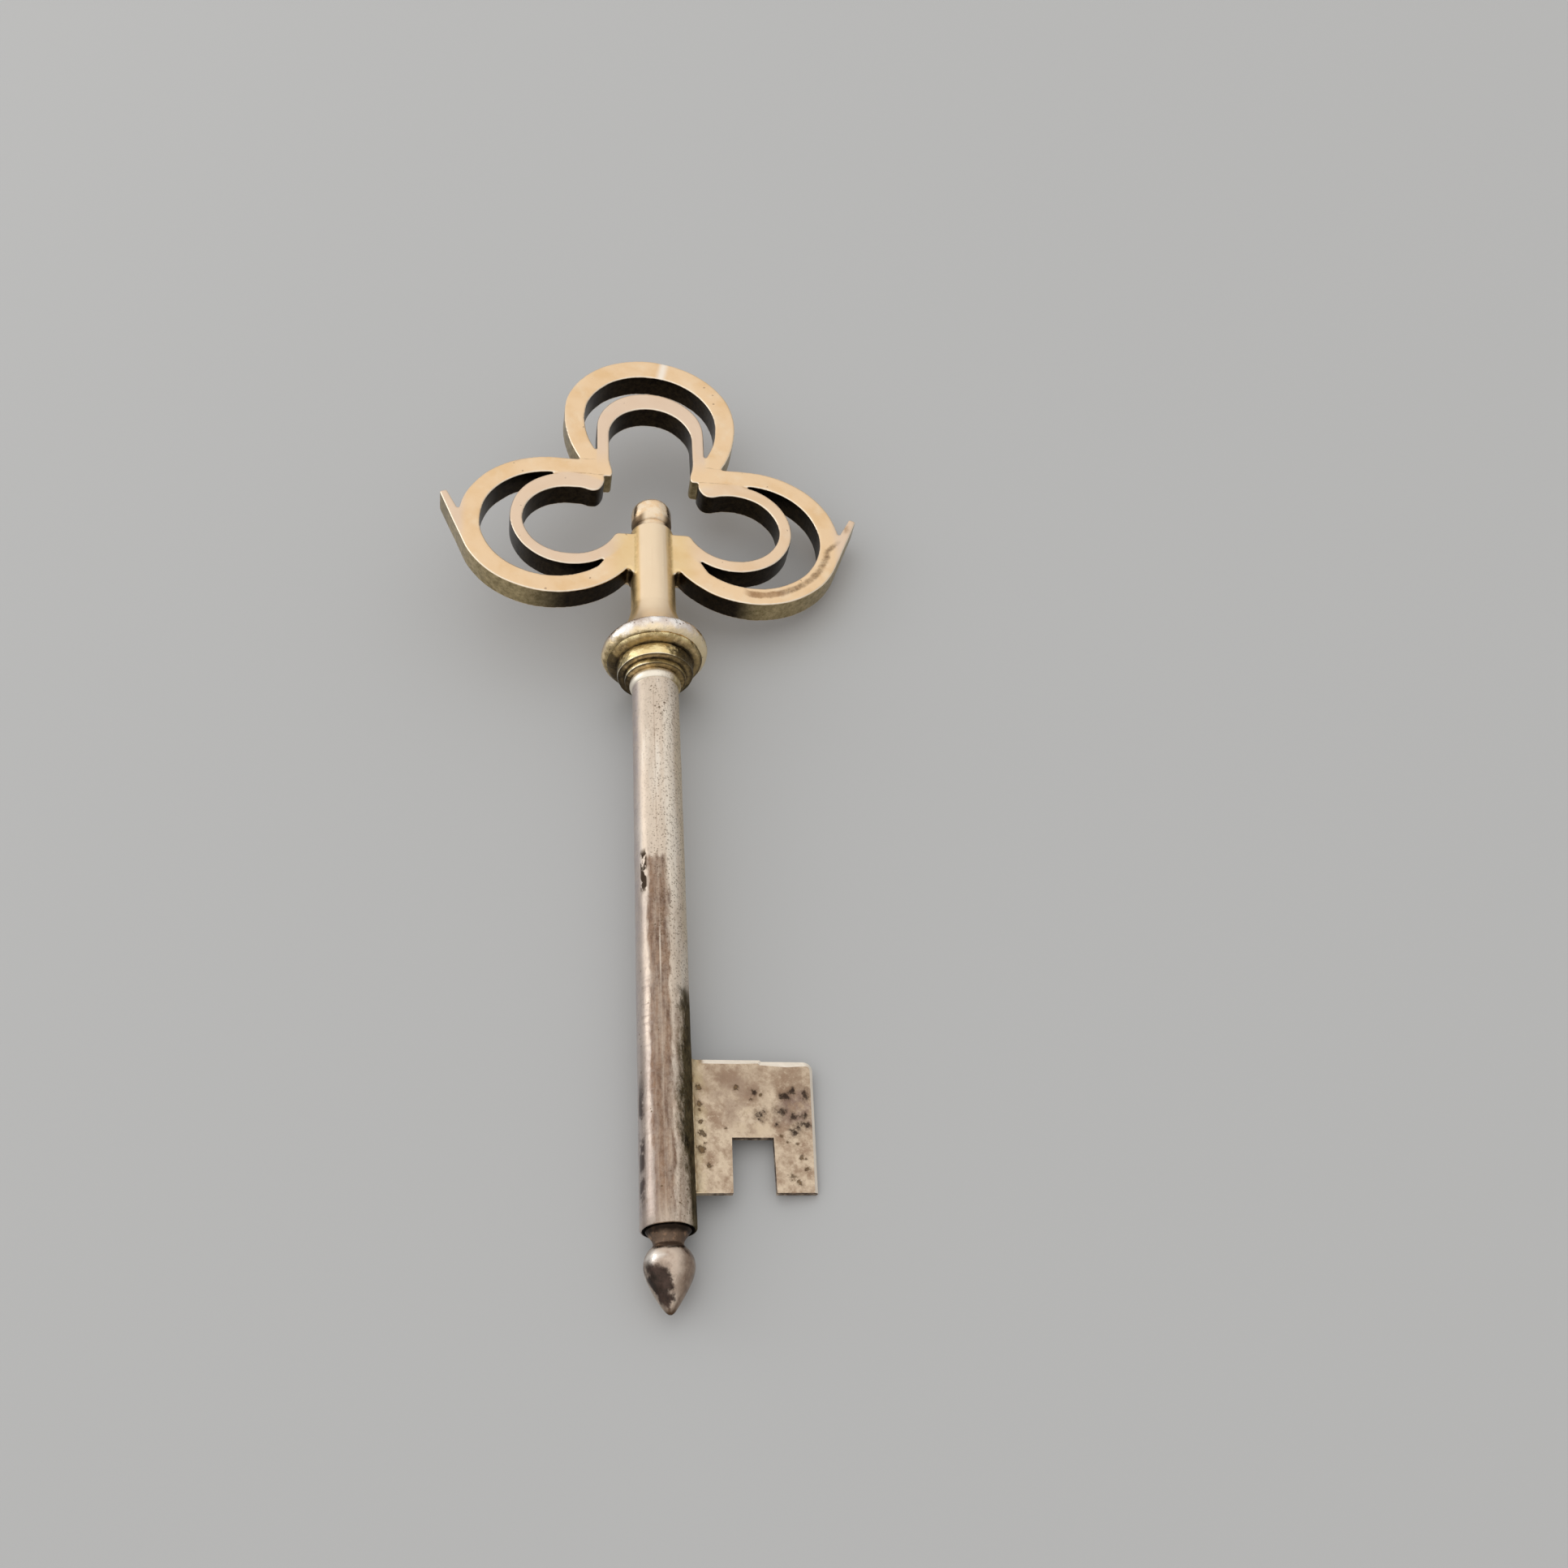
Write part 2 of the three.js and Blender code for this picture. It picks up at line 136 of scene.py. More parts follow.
def mesh_of(bm, name):
    mesh = bpy.data.meshes.new(name)
    bm.to_mesh(mesh)
    bm.free()
    return mesh


def line_to(bm, vert, x, y):
    end = bmesh.ops.extrude_vert_indiv(bm, verts=[vert])["verts"][0]
    end.co = (x, y, 0)
    return end


def arc_to(bm, vert, centre, degrees):
    """Carries an outline on along an arc about a centre: anticlockwise for positive degrees."""
    steps = max(2, math.ceil(abs(degrees) / 5))
    made = bmesh.ops.spin(bm, geom=[vert], cent=(centre[0], centre[1], 0), axis=(0, 0, 1),
                          angle=math.radians(degrees), steps=steps)
    return made["geom_last"][0]


def raised(bm, first, last, height):
    """Closes an outline, fills it and raises it to a height about the mid-plane."""
    if (first.co - last.co).length < 1e-4:
        bmesh.ops.pointmerge(bm, verts=[first, last], merge_co=first.co)
    else:
        bmesh.ops.contextual_create(bm, geom=[last, first])
    bmesh.ops.contextual_create(bm, geom=bm.edges[:])
    top = bmesh.ops.extrude_face_region(bm, geom=bm.faces[:])
    lifted = [part for part in top["geom"] if isinstance(part, bmesh.types.BMVert)]
    bmesh.ops.translate(bm, verts=lifted, vec=(0, 0, height))
    bmesh.ops.translate(bm, verts=bm.verts[:], vec=(0, 0, -height / 2))
    bmesh.ops.recalc_face_normals(bm, faces=bm.faces[:])
    return bm


def slab(places, height):
    """A flat block from the few corners of its outline."""
    bm = bmesh.new()
    first = last = bm.verts.new((places[0][0], places[0][1], 0))
    for x, y in places[1:]:
        last = line_to(bm, last, x, y)
    return raised(bm, first, last, height)


def bent_strip(centre, inside, outside, start, degrees, height):
    """A strip on edge, bent round a centre from a starting angle."""
    bm = bmesh.new()
    turn = Matrix.Translation((centre[0], centre[1], 0)) @ Matrix.Rotation(math.radians(start), 4, "Z")
    corners = [(inside, -height / 2), (outside, -height / 2), (outside, height / 2), (inside, height / 2)]
    section = bm.faces.new([bm.verts.new(turn @ Vector((across, 0, up))) for across, up in corners])
    bmesh.ops.spin(bm, geom=[section, *section.edges, *section.verts], cent=(centre[0], centre[1], 0),
                   axis=(0, 0, 1), angle=math.radians(degrees), steps=math.ceil(abs(degrees) / 4))
    bmesh.ops.recalc_face_normals(bm, faces=bm.faces[:])
    return bm


def turned(outline, steps=96):
    """A turned solid: an outline of (station, radius) spun about the key's axis."""
    bm = bmesh.new()
    last = bm.verts.new((outline[0][1], outline[0][0], 0))
    for station, radius in outline[1:]:
        last = line_to(bm, last, radius, station)
    bmesh.ops.spin(bm, geom=[*bm.verts, *bm.edges], cent=(0, 0, 0), axis=(0, 1, 0),
                   angle=math.tau, steps=steps, use_merge=True)
    bmesh.ops.remove_doubles(bm, verts=bm.verts[:], dist=1e-4)
    bmesh.ops.recalc_face_normals(bm, faces=bm.faces[:])
    return bm


def ring(first, last, radius, bore=RING_BORE, edge=0.1):
    """Outline of a plain turned ring with eased rims."""
    return [(first, bore), (first, radius - edge), (first + edge * 0.3, radius - edge * 0.3),
            (first + edge, radius), (last - edge, radius), (last - edge * 0.3, radius - edge * 0.3),
            (last, radius - edge), (last, bore), (first, bore)]


def eased(outline, rounds=2):
    """Rounds the corners of an outline by cutting them, but keeps its ends."""
    for _ in range(rounds):
        cut = [outline[0]]
        for (s0, r0), (s1, r1) in zip(outline, outline[1:]):
            cut.append((s0 * 0.75 + s1 * 0.25, r0 * 0.75 + r1 * 0.25))
            cut.append((s0 * 0.25 + s1 * 0.75, r0 * 0.25 + r1 * 0.75))
        cut.append(outline[-1])
        outline = cut
    return outline


def soldered(shapes, name, voxel, rounds, thinned=1.0):
    """Melts overlapping shapes into one skin, softens its edges and returns it as a mesh."""
    whole = bmesh.new()
    for shape in shapes:
        part = mesh_of(shape, name)
        whole.from_mesh(part)
        bpy.data.meshes.remove(part)
    source = bpy.data.objects.new(name, mesh_of(whole, name))
    bpy.context.scene.collection.objects.link(source)
    skin = source.modifiers.new("one skin", "REMESH")
    skin.mode = "VOXEL"
    skin.voxel_size = voxel
    skin.use_smooth_shade = True
    soft = source.modifiers.new("filed edges", "SMOOTH")
    soft.factor = 0.5
    soft.iterations = rounds
    if thinned < 1:
        fewer = source.modifiers.new("fewer faces", "DECIMATE")
        fewer.ratio = thinned
    bpy.context.view_layer.update()
    melted = bpy.data.meshes.new_from_object(source.evaluated_get(bpy.context.evaluated_depsgraph_get()))
    bpy.data.objects.remove(source)
    melted.name = name
    return melted


def marked(mesh, name, amount):
    """Stores an amount from 0 to 1 on each vertex, worked out from its place in the key."""
    layer = mesh.attributes.new(name, "FLOAT", "POINT")
    layer.data.foreach_set("value", [amount(v.co) for v in mesh.vertices])


def step_between(low, high, value):
    share = min(1.0, max(0.0, (value - low) / (high - low)))
    return share * share * (3 - 2 * share)


# Finishes: their stations, distances and sizes are in the key's millimetres, their angles in radians


class Finish:
    """A procedural metal finish, patterned in the key's own millimetres and built up in coats of colour."""

    def __init__(self, name):
        self.material = bpy.data.materials.new(name)
        self.material.use_nodes = True
        self.tree = self.material.node_tree
        self.tree.nodes.clear()
        self.metal = self.node("ShaderNodeBsdfPrincipled")
        output = self.node("ShaderNodeOutputMaterial")
        self.tree.links.new(self.metal.outputs[0], output.inputs[0])
        space = self.node("ShaderNodeTexCoord")
        self.normal = space.outputs["Normal"]
        place = self.node("ShaderNodeMapping")
        place.vector_type = "TEXTURE"
        place.inputs["Location"].default_value = KEY_PLACE * MILLIMETRE
        place.inputs["Rotation"].default_value = KEY_TURN.to_euler("XYZ")
        place.inputs["Scale"].default_value = (MILLIMETRE, MILLIMETRE, MILLIMETRE)
        self.tree.links.new(space.outputs["Object"], place.inputs["Vector"])
        self.place = place.outputs["Vector"]
        self.across, self.along, self.up = self.node("ShaderNodeSeparateXYZ", Vector=self.place).outputs
        # Angle round the key's axis: 0 on top, more towards the side of the bit
        self.round = self.calc("ARCTAN2", self.across, self.up)
        self.colour = None

    def feed(self, socket, value):
        if isinstance(value, bpy.types.NodeSocket):
            self.tree.links.new(value, socket)
        else:
            socket.default_value = value

    def node(self, kind, **inputs):
        made = self.tree.nodes.new(kind)
        for key, value in inputs.items():
            self.feed(made.inputs[key.replace("_", " ")], value)
        return made

    def calc(self, how, *values, kind="ShaderNodeMath"):
        made = self.tree.nodes.new(kind)
        made.operation = how
        for socket, value in zip(made.inputs, values):
            self.feed(socket, value)
        return made.outputs[0]

    def chain(self, how, values):
        result = values[0]
        for value in values[1:]:
            result = self.calc(how, result, value)
        return result

    def plus(self, *values):
        return self.chain("ADD", values)

    def times(self, *values):
        return self.chain("MULTIPLY", values)

    def most(self, *values):
        return self.chain("MAXIMUM", values)

    def rest(self, mask):
        return self.calc("SUBTRACT", 1.0, mask)

    def size(self, value):
        return self.calc("ABSOLUTE", value)

    def part(self, low, high, share):
        """From low, where the share is 0, to high, where it is 1."""
        return self.plus(low, self.times(share, high - low))

    def swung(self, value, amount):
        """Noise from 0 to 1 made to swing about zero."""
        return self.times(self.plus(value, -0.5), amount)

    def above(self, value, low, high):
        """0 up to low, 1 from high on, and smooth between."""
        made = self.node("ShaderNodeMapRange", Value=value, From_Min=low, From_Max=high)
        made.interpolation_type = "SMOOTHSTEP"
        return made.outputs["Result"]

    def below(self, value, low, high):
        return self.rest(self.above(value, low, high))

    def inside(self, value, low, high, soft):
        return self.times(self.above(value, low - soft, low + soft),
                          self.below(value, high - soft, high + soft))

    def away(self, across, along):
        """Distance from a spot, seen from above the key."""
        one = self.calc("POWER", self.plus(self.across, -across), 2.0)
        two = self.calc("POWER", self.plus(self.along, -along), 2.0)
        return self.calc("SQRT", self.plus(one, two))

    def off_axis(self):
        """Distance from the key's axis."""
        one = self.calc("POWER", self.across, 2.0)
        two = self.calc("POWER", self.up, 2.0)
        return self.calc("SQRT", self.plus(one, two))

    def scaled(self, size, stretch, shift, turn=(0, 0, 0)):
        """The place in the key, for a pattern of a size."""
        scale = [1 / (size * s) for s in stretch]
        made = self.node("ShaderNodeMapping", Vector=self.place, Location=shift, Rotation=turn, Scale=scale)
        return made.outputs[0]

    def cloud(self, size, detail=4.0, stretch=(1, 1, 1), roughness=0.55, offset=0.0):
        """Soft noise with features of about a size."""
        place = self.scaled(size, stretch, (offset, offset * 1.7, offset * 0.6), (0.6, 0.35, 0.8))
        made = self.node("ShaderNodeTexNoise", Vector=place, Scale=1.0, Detail=detail, Roughness=roughness)
        return made.outputs["Fac"]

    def mottle(self, size, offset=0.0, stretch=(1, 1, 1)):
        """Rough noise from a size down to fine grain, as tarnish shows it, spread over 0 to 1."""
        return self.above(self.cloud(size, 9.0, stretch, 0.72, offset), 0.3, 0.7)

    def pits(self, size, keep=0.35, offset=0.0, depth=0.3, stretch=(1, 1, 1)):
        """Scattered pits about a size apart: 1 in the middle of each, 0 between."""
        place = self.scaled(size, stretch, (offset, offset * 0.8, offset * 1.3))
        ragged = self.node("ShaderNodeTexNoise", Vector=place, Scale=3.0, Detail=3.0).outputs["Color"]
        pushed = self.calc("MULTIPLY_ADD", ragged, (0.35, 0.35, 0.35), place, kind="ShaderNodeVectorMath")
        made = self.node("ShaderNodeTexVoronoi", Vector=pushed, Scale=1.0)
        chance = self.node("ShaderNodeSeparateColor", Color=made.outputs["Color"]).outputs[0]
        few = self.calc("LESS_THAN", chance, keep)
        return self.times(few, self.below(made.outputs["Distance"], depth * 0.4, depth))

    def spotted(self, spots):
        """Nearness to the nearest of some spots (across, along, radius): 0 in its middle, -1 at its rim."""
        nearness = -100.0
        for across, along, radius in spots:
            nearness = self.most(self.times(self.away(across, along), -1 / radius), nearness)
        return nearness

    def stored(self, name):
        made = self.node("ShaderNodeAttribute")
        made.attribute_name = name
        return made.outputs["Fac"]

    def facing(self, direction):
        """How far the surface faces a direction of the key, from -1 to 1."""
        made = self.node("ShaderNodeVectorMath")
        made.operation = "DOT_PRODUCT"
        self.feed(made.inputs[0], self.normal)
        self.feed(made.inputs[1], KEY_TURN.to_3x3() @ Vector(direction))
        return made.outputs["Value"]

    def mixed(self, first, second, share):
        made = self.node("ShaderNodeMix")
        made.data_type = "RGBA"
        self.feed(made.inputs[0], share)
        for socket, value in ((made.inputs[6], first), (made.inputs[7], second)):
            self.feed(socket, value if isinstance(value, bpy.types.NodeSocket) else (*value, 1.0))
        return made.outputs[2]

    def coat(self, colour, share):
        """Lays a colour over the finish so far, as far as its share goes."""
        self.colour = self.mixed(self.colour, colour, share)

    def ready(self, roughness, height, depth):
        """Joins the finished colour, roughness and relief to the metal."""
        self.feed(self.metal.inputs["Base Color"], self.colour)
        self.feed(self.metal.inputs["Roughness"], roughness)
        self.metal.inputs["Metallic"].default_value = 1.0
        relief = self.node("ShaderNodeBump", Height=height, Strength=1.0, Distance=depth * MILLIMETRE)
        self.tree.links.new(relief.outputs[0], self.metal.inputs["Normal"])
        return self.material


GILT = (0.86, 0.63, 0.40)
GILT_WARM = (0.78, 0.52, 0.27)
GILT_YELLOW = (0.76, 0.58, 0.24)
GILT_PALE = (0.89, 0.73, 0.54)
GILT_WORN = (0.76, 0.60, 0.48)
# Colour of the painted highlight on the bow's edges
GILT_HIGHLIGHT = (0.97, 0.87, 0.72)
SILVER = (0.74, 0.63, 0.52)
SILVER_PALE = (0.86, 0.78, 0.68)
COPPER_BROWN = (0.31, 0.205, 0.14)
BROWN = (0.12, 0.07, 0.04)
# Near-black colour for painted shade in recesses, gaps and corners, and on the bow's walls
SHADE_BLACK = (0.014, 0.010, 0.008)

# Spots on the shank, the bead and the bit: across, along, radius
SHANK_SPOTS = [(1.4, 17.6, 0.55), (1.35, 16.6, 0.5)]
BEAD_DULL_SPOTS = [(-1.7, 51.8, 0.75), (-4.3, 51.6, 0.6)]
BEAD_PAINTED_HIGHLIGHTS = [(-2.95, 51.2, 0.7), (-0.4, 51.65, 0.45), (1.5, 51.7, 0.6)]
BIT_BLACK_SPOTS = [
    (9.6, 7.56, 0.28), (10.2, 7.65, 0.22), (9.3, 7.1, 0.22), (9.33, 8.28, 0.25), (10.2, 8.4, 0.2),
    (8.33, 8.67, 0.28), (8.83, 9.9, 0.3), (9.4, 10.35, 0.2), (10.25, 10.05, 0.3), (6.9, 8.4, 0.27),
    (8.0, 7.7, 0.15), (6.5, 10.15, 0.18),
]
BIT_BROWN_SPOTS = [
    (2.34, 10.5, 0.2), (2.45, 9.2, 0.2), (2.42, 8.8, 0.14), (2.5, 7.9, 0.2), (2.68, 7.0, 0.23),
    (2.5, 5.9, 0.22), (2.95, 4.6, 0.18), (2.7, 6.25, 0.12), (5.1, 10.55, 0.2), (8.93, 3.75, 0.22),
    (9.47, 3.3, 0.2), (10.06, 4.3, 0.16), (9.7, 5.2, 0.16), (10.0, 5.1, 0.12), (8.75, 6.35, 0.11),
    (9.5, 6.2, 0.1), (6.25, 9.65, 0.13), (6.95, 10.0, 0.14), (8.3, 6.85, 0.13), (4.3, 7.4, 0.1),
]


def bow_gilt():
    """Satin silver gilt: rosy on top, worn on the inner strips, with a painted highlight at its edges,
    painted shade over some tarnished metal on the walls, and a painted reflection down the stem.
    """
    f = Finish("bow_gilt")
    side = f.size(f.across)
    stem = f.stored("round_stem")
    f.colour = f.mixed(GILT, GILT_WARM,
                       f.times(f.above(f.cloud(3.0, detail=5.0, offset=3.0), 0.42, 0.72), 0.7))
    f.coat(GILT_PALE, f.times(f.above(f.cloud(2.2, offset=11.0), 0.5, 0.75), 0.5))
    f.coat(GILT_WORN, f.stored("worn"))
    f.coat(GILT_YELLOW, f.times(f.below(side, 2.4, 4.6), f.below(f.along, 64.5, 66.0), 0.35))
    # The scarfed joint of the lobe on the bit's side shows as a brown seam, which ends in a patch
    bearing = f.calc("ARCTAN2", f.plus(f.along, -LOBE_CENTRE[1]), f.plus(f.across, -LOBE_CENTRE[0]))
    seam_radius = f.plus(f.times(f.above(bearing, -0.2, 0.07), 1.15),
                         f.times(f.below(bearing, -1.85, -1.6), -0.6), 7.27)
    off_seam = f.calc("SUBTRACT", f.away(*LOBE_CENTRE), seam_radius)
    ragged = f.swung(f.mottle(0.5), 0.16)
    seam = f.times(f.below(f.plus(f.size(off_seam), ragged), 0.08, 0.44),
                   f.inside(bearing, -1.25, -0.03, 0.08),
                   f.part(0.3, 1.0, f.mottle(0.7, 5.0)))
    patch = f.times(f.inside(f.plus(off_seam, ragged), -0.3, 0.4, 0.14), f.inside(bearing, -1.68, -1.2, 0.07),
                    f.part(0.7, 1.0, f.mottle(0.6, 12.0)))
    stains = f.times(f.stored("stain"), f.mottle(0.8, 9.0))
    f.coat((0.36, 0.205, 0.10), f.times(f.most(patch, stains), 0.9))
    f.coat(f.mixed((0.34, 0.21, 0.11), (0.07, 0.04, 0.02), f.mottle(0.5, 2.0)), f.times(seam, 0.85))
    wavy = f.plus(f.along, f.times(f.cloud(0.8), 0.3))
    joints = f.most(f.times(f.inside(wavy, 72.03, 72.15, 0.05), f.inside(side, 4.2, 7.3, 0.4)),
                    f.times(f.inside(wavy, 74.0, 74.1, 0.05), f.inside(side, 5.3, 6.7, 0.3)))
    f.coat((0.42, 0.27, 0.15), f.times(joints, f.mottle(0.6, 4.0), 0.6))
    f.coat(COPPER_BROWN, f.times(f.pits(0.8, keep=0.14, offset=6.0, depth=0.16), 0.7))
    nick = f.size(f.plus(f.across, f.times(f.plus(f.along, -80.27), -0.19)))
    f.coat((0.98, 0.92, 0.84), f.times(f.below(nick, 0.0, 0.7), f.above(f.along, 85.0, 86.0), 0.75))
    top = f.colour
    # The walls are painted near black: painted shade and a painted reflection of shadow, over some tarnished
    # metal; the tops keep the colour built up above
    grain = f.mottle(0.5, 4.0)
    f.colour = f.mixed(SHADE_BLACK, (0.045, 0.032, 0.018), grain)
    # Painted light on the walls: the outer walls are painted a lighter olive-gold, and the walls by the stem
    # brown, over the near-black painted shade
    f.coat(f.mixed((0.27, 0.21, 0.10), (0.58, 0.46, 0.26), grain), f.stored("open_wall"))
    f.coat((0.20, 0.125, 0.05), f.times(f.below(side, 2.2, 3.2), f.below(f.along, 64.0, 66.0), grain, 0.8))
    flat = f.most(f.size(f.facing((0, 0, 1))), stem, f.stored("solder"))
    f.coat(top, f.above(flat, 0.12, 0.42))
    # Painted highlight along the rounded edges of the strips, strongest on the side towards the finial
    near_side = f.above(f.facing((0, -1, 0)), 0.0, 0.3)
    f.coat(GILT_HIGHLIGHT, f.times(f.inside(flat, 0.45, 0.9, 0.1), f.rest(stem), f.part(0.3, 0.9, near_side)))
    f.coat((0.90, 0.68, 0.38), f.stored("solder"))
    # The stem: a pale painted reflection down its middle, and speckled gilt at its sides made darker as
    # painted shade
    off_top = f.size(f.plus(f.round, 0.06))
    speckled = f.mixed((0.80, 0.60, 0.31), (0.52, 0.37, 0.17), f.mottle(0.4, 8.0))
    f.coat(speckled, f.times(stem, f.above(off_top, 0.62, 0.94), 0.85))
    f.coat(GILT_PALE, f.times(stem, f.below(off_top, 0.58, 0.74), 0.85))
    marks = f.most(seam, patch)
    rough = f.plus(f.times(f.cloud(1.6), 0.16), f.times(marks, 0.2), f.times(stem, 0.1), 0.26)
    scratches = f.cloud(0.1, detail=2.0, stretch=(9, 1, 1), offset=5.0)
    height = f.plus(f.times(f.cloud(1.3, detail=2.0), 0.6), f.times(f.cloud(0.14, detail=3.0), 0.07),
                    f.times(scratches, 0.05), f.times(marks, -0.25))
    return f.ready(rough, height, depth=0.05)


def collar_gilt():
    """Gilt rings: a painted highlight at their edges, brown on the faces towards the finial, and painted
    shade over olive tarnished gilt round their sides and in their corners.
    """
    f = Finish("collar_gilt")
    grain = f.mottle(0.6, 5.0)
    angle = f.plus(f.round, f.swung(f.mottle(1.4, 3.0), 0.7))
    ring_shade_tarnish = f.stored("shade_tarnish_share")
    # Painted shade over olive tarnished gilt on the side of the rings turned away from the light; it reaches
    # further round on rings marked as more shaded
    side_shade_tarnish = f.above(f.plus(angle, f.times(ring_shade_tarnish, 1.7)), 0.9, 1.45)
    f.colour = f.mixed((1.0, 0.86, 0.50), (0.92, 0.71, 0.35), f.mottle(1.5))
    f.coat(f.mixed((0.48, 0.34, 0.13), (0.05, 0.034, 0.014), grain), f.times(side_shade_tarnish, 0.9))
    to_finial = f.facing((0, -1, 0))
    front = f.above(to_finial, 0.72, 0.95)
    speckled = f.mixed((0.86, 0.64, 0.34), (0.26, 0.175, 0.08), grain)
    f.coat(speckled, f.times(front, f.rest(f.times(side_shade_tarnish, 0.6)), 0.95))
    out = f.off_axis()
    large_corner = f.below(f.size(f.plus(out, -3.3)), 0.05, 0.45)
    small_corner = f.below(f.size(f.plus(out, -2.65)), 0.05, 0.25)
    # Painted shade in the corners where the faces towards the finial meet the next ring
    f.coat(SHADE_BLACK, f.times(f.most(large_corner, small_corner), front, 0.7))
    lip_rim = f.times(f.below(ring_shade_tarnish, 0.15, 0.3), f.above(f.mottle(0.9, 8.0), 0.2, 0.8))
    f.coat((0.42, 0.30, 0.13), f.times(lip_rim, 0.8))
    # Painted shade, near black, at the far left and on the side turned away from the light
    far_left = f.times(f.below(angle, -1.4, -0.9), 0.85)
    dark_side = f.times(f.above(f.plus(angle, f.times(ring_shade_tarnish, 0.9)), 0.58, 1.05),
                        f.rest(f.times(front, f.rest(ring_shade_tarnish))), 0.85, f.above(out, 2.7, 2.85))
    f.coat(f.mixed((0.065, 0.043, 0.018), (0.009, 0.006, 0.004), grain), f.most(far_left, dark_side))
    # Painted highlight along the rims that face the finial
    edge = f.times(f.inside(to_finial, 0.3, 0.85, 0.1), f.rest(f.times(side_shade_tarnish, 0.85)),
                   f.above(ring_shade_tarnish, 0.25, 0.33))
    f.coat((0.98, 0.92, 0.80), f.times(edge, 0.9))
    stained_and_shaded = f.most(front, side_shade_tarnish)
    rough = f.plus(f.times(f.cloud(0.6, detail=5.0, offset=2.0), 0.2), f.times(stained_and_shaded, 0.15), 0.24)
    height = f.plus(f.cloud(0.7), f.times(grain, 0.08), f.times(stained_and_shaded, grain, 0.2))
    return f.ready(rough, height, depth=0.12)


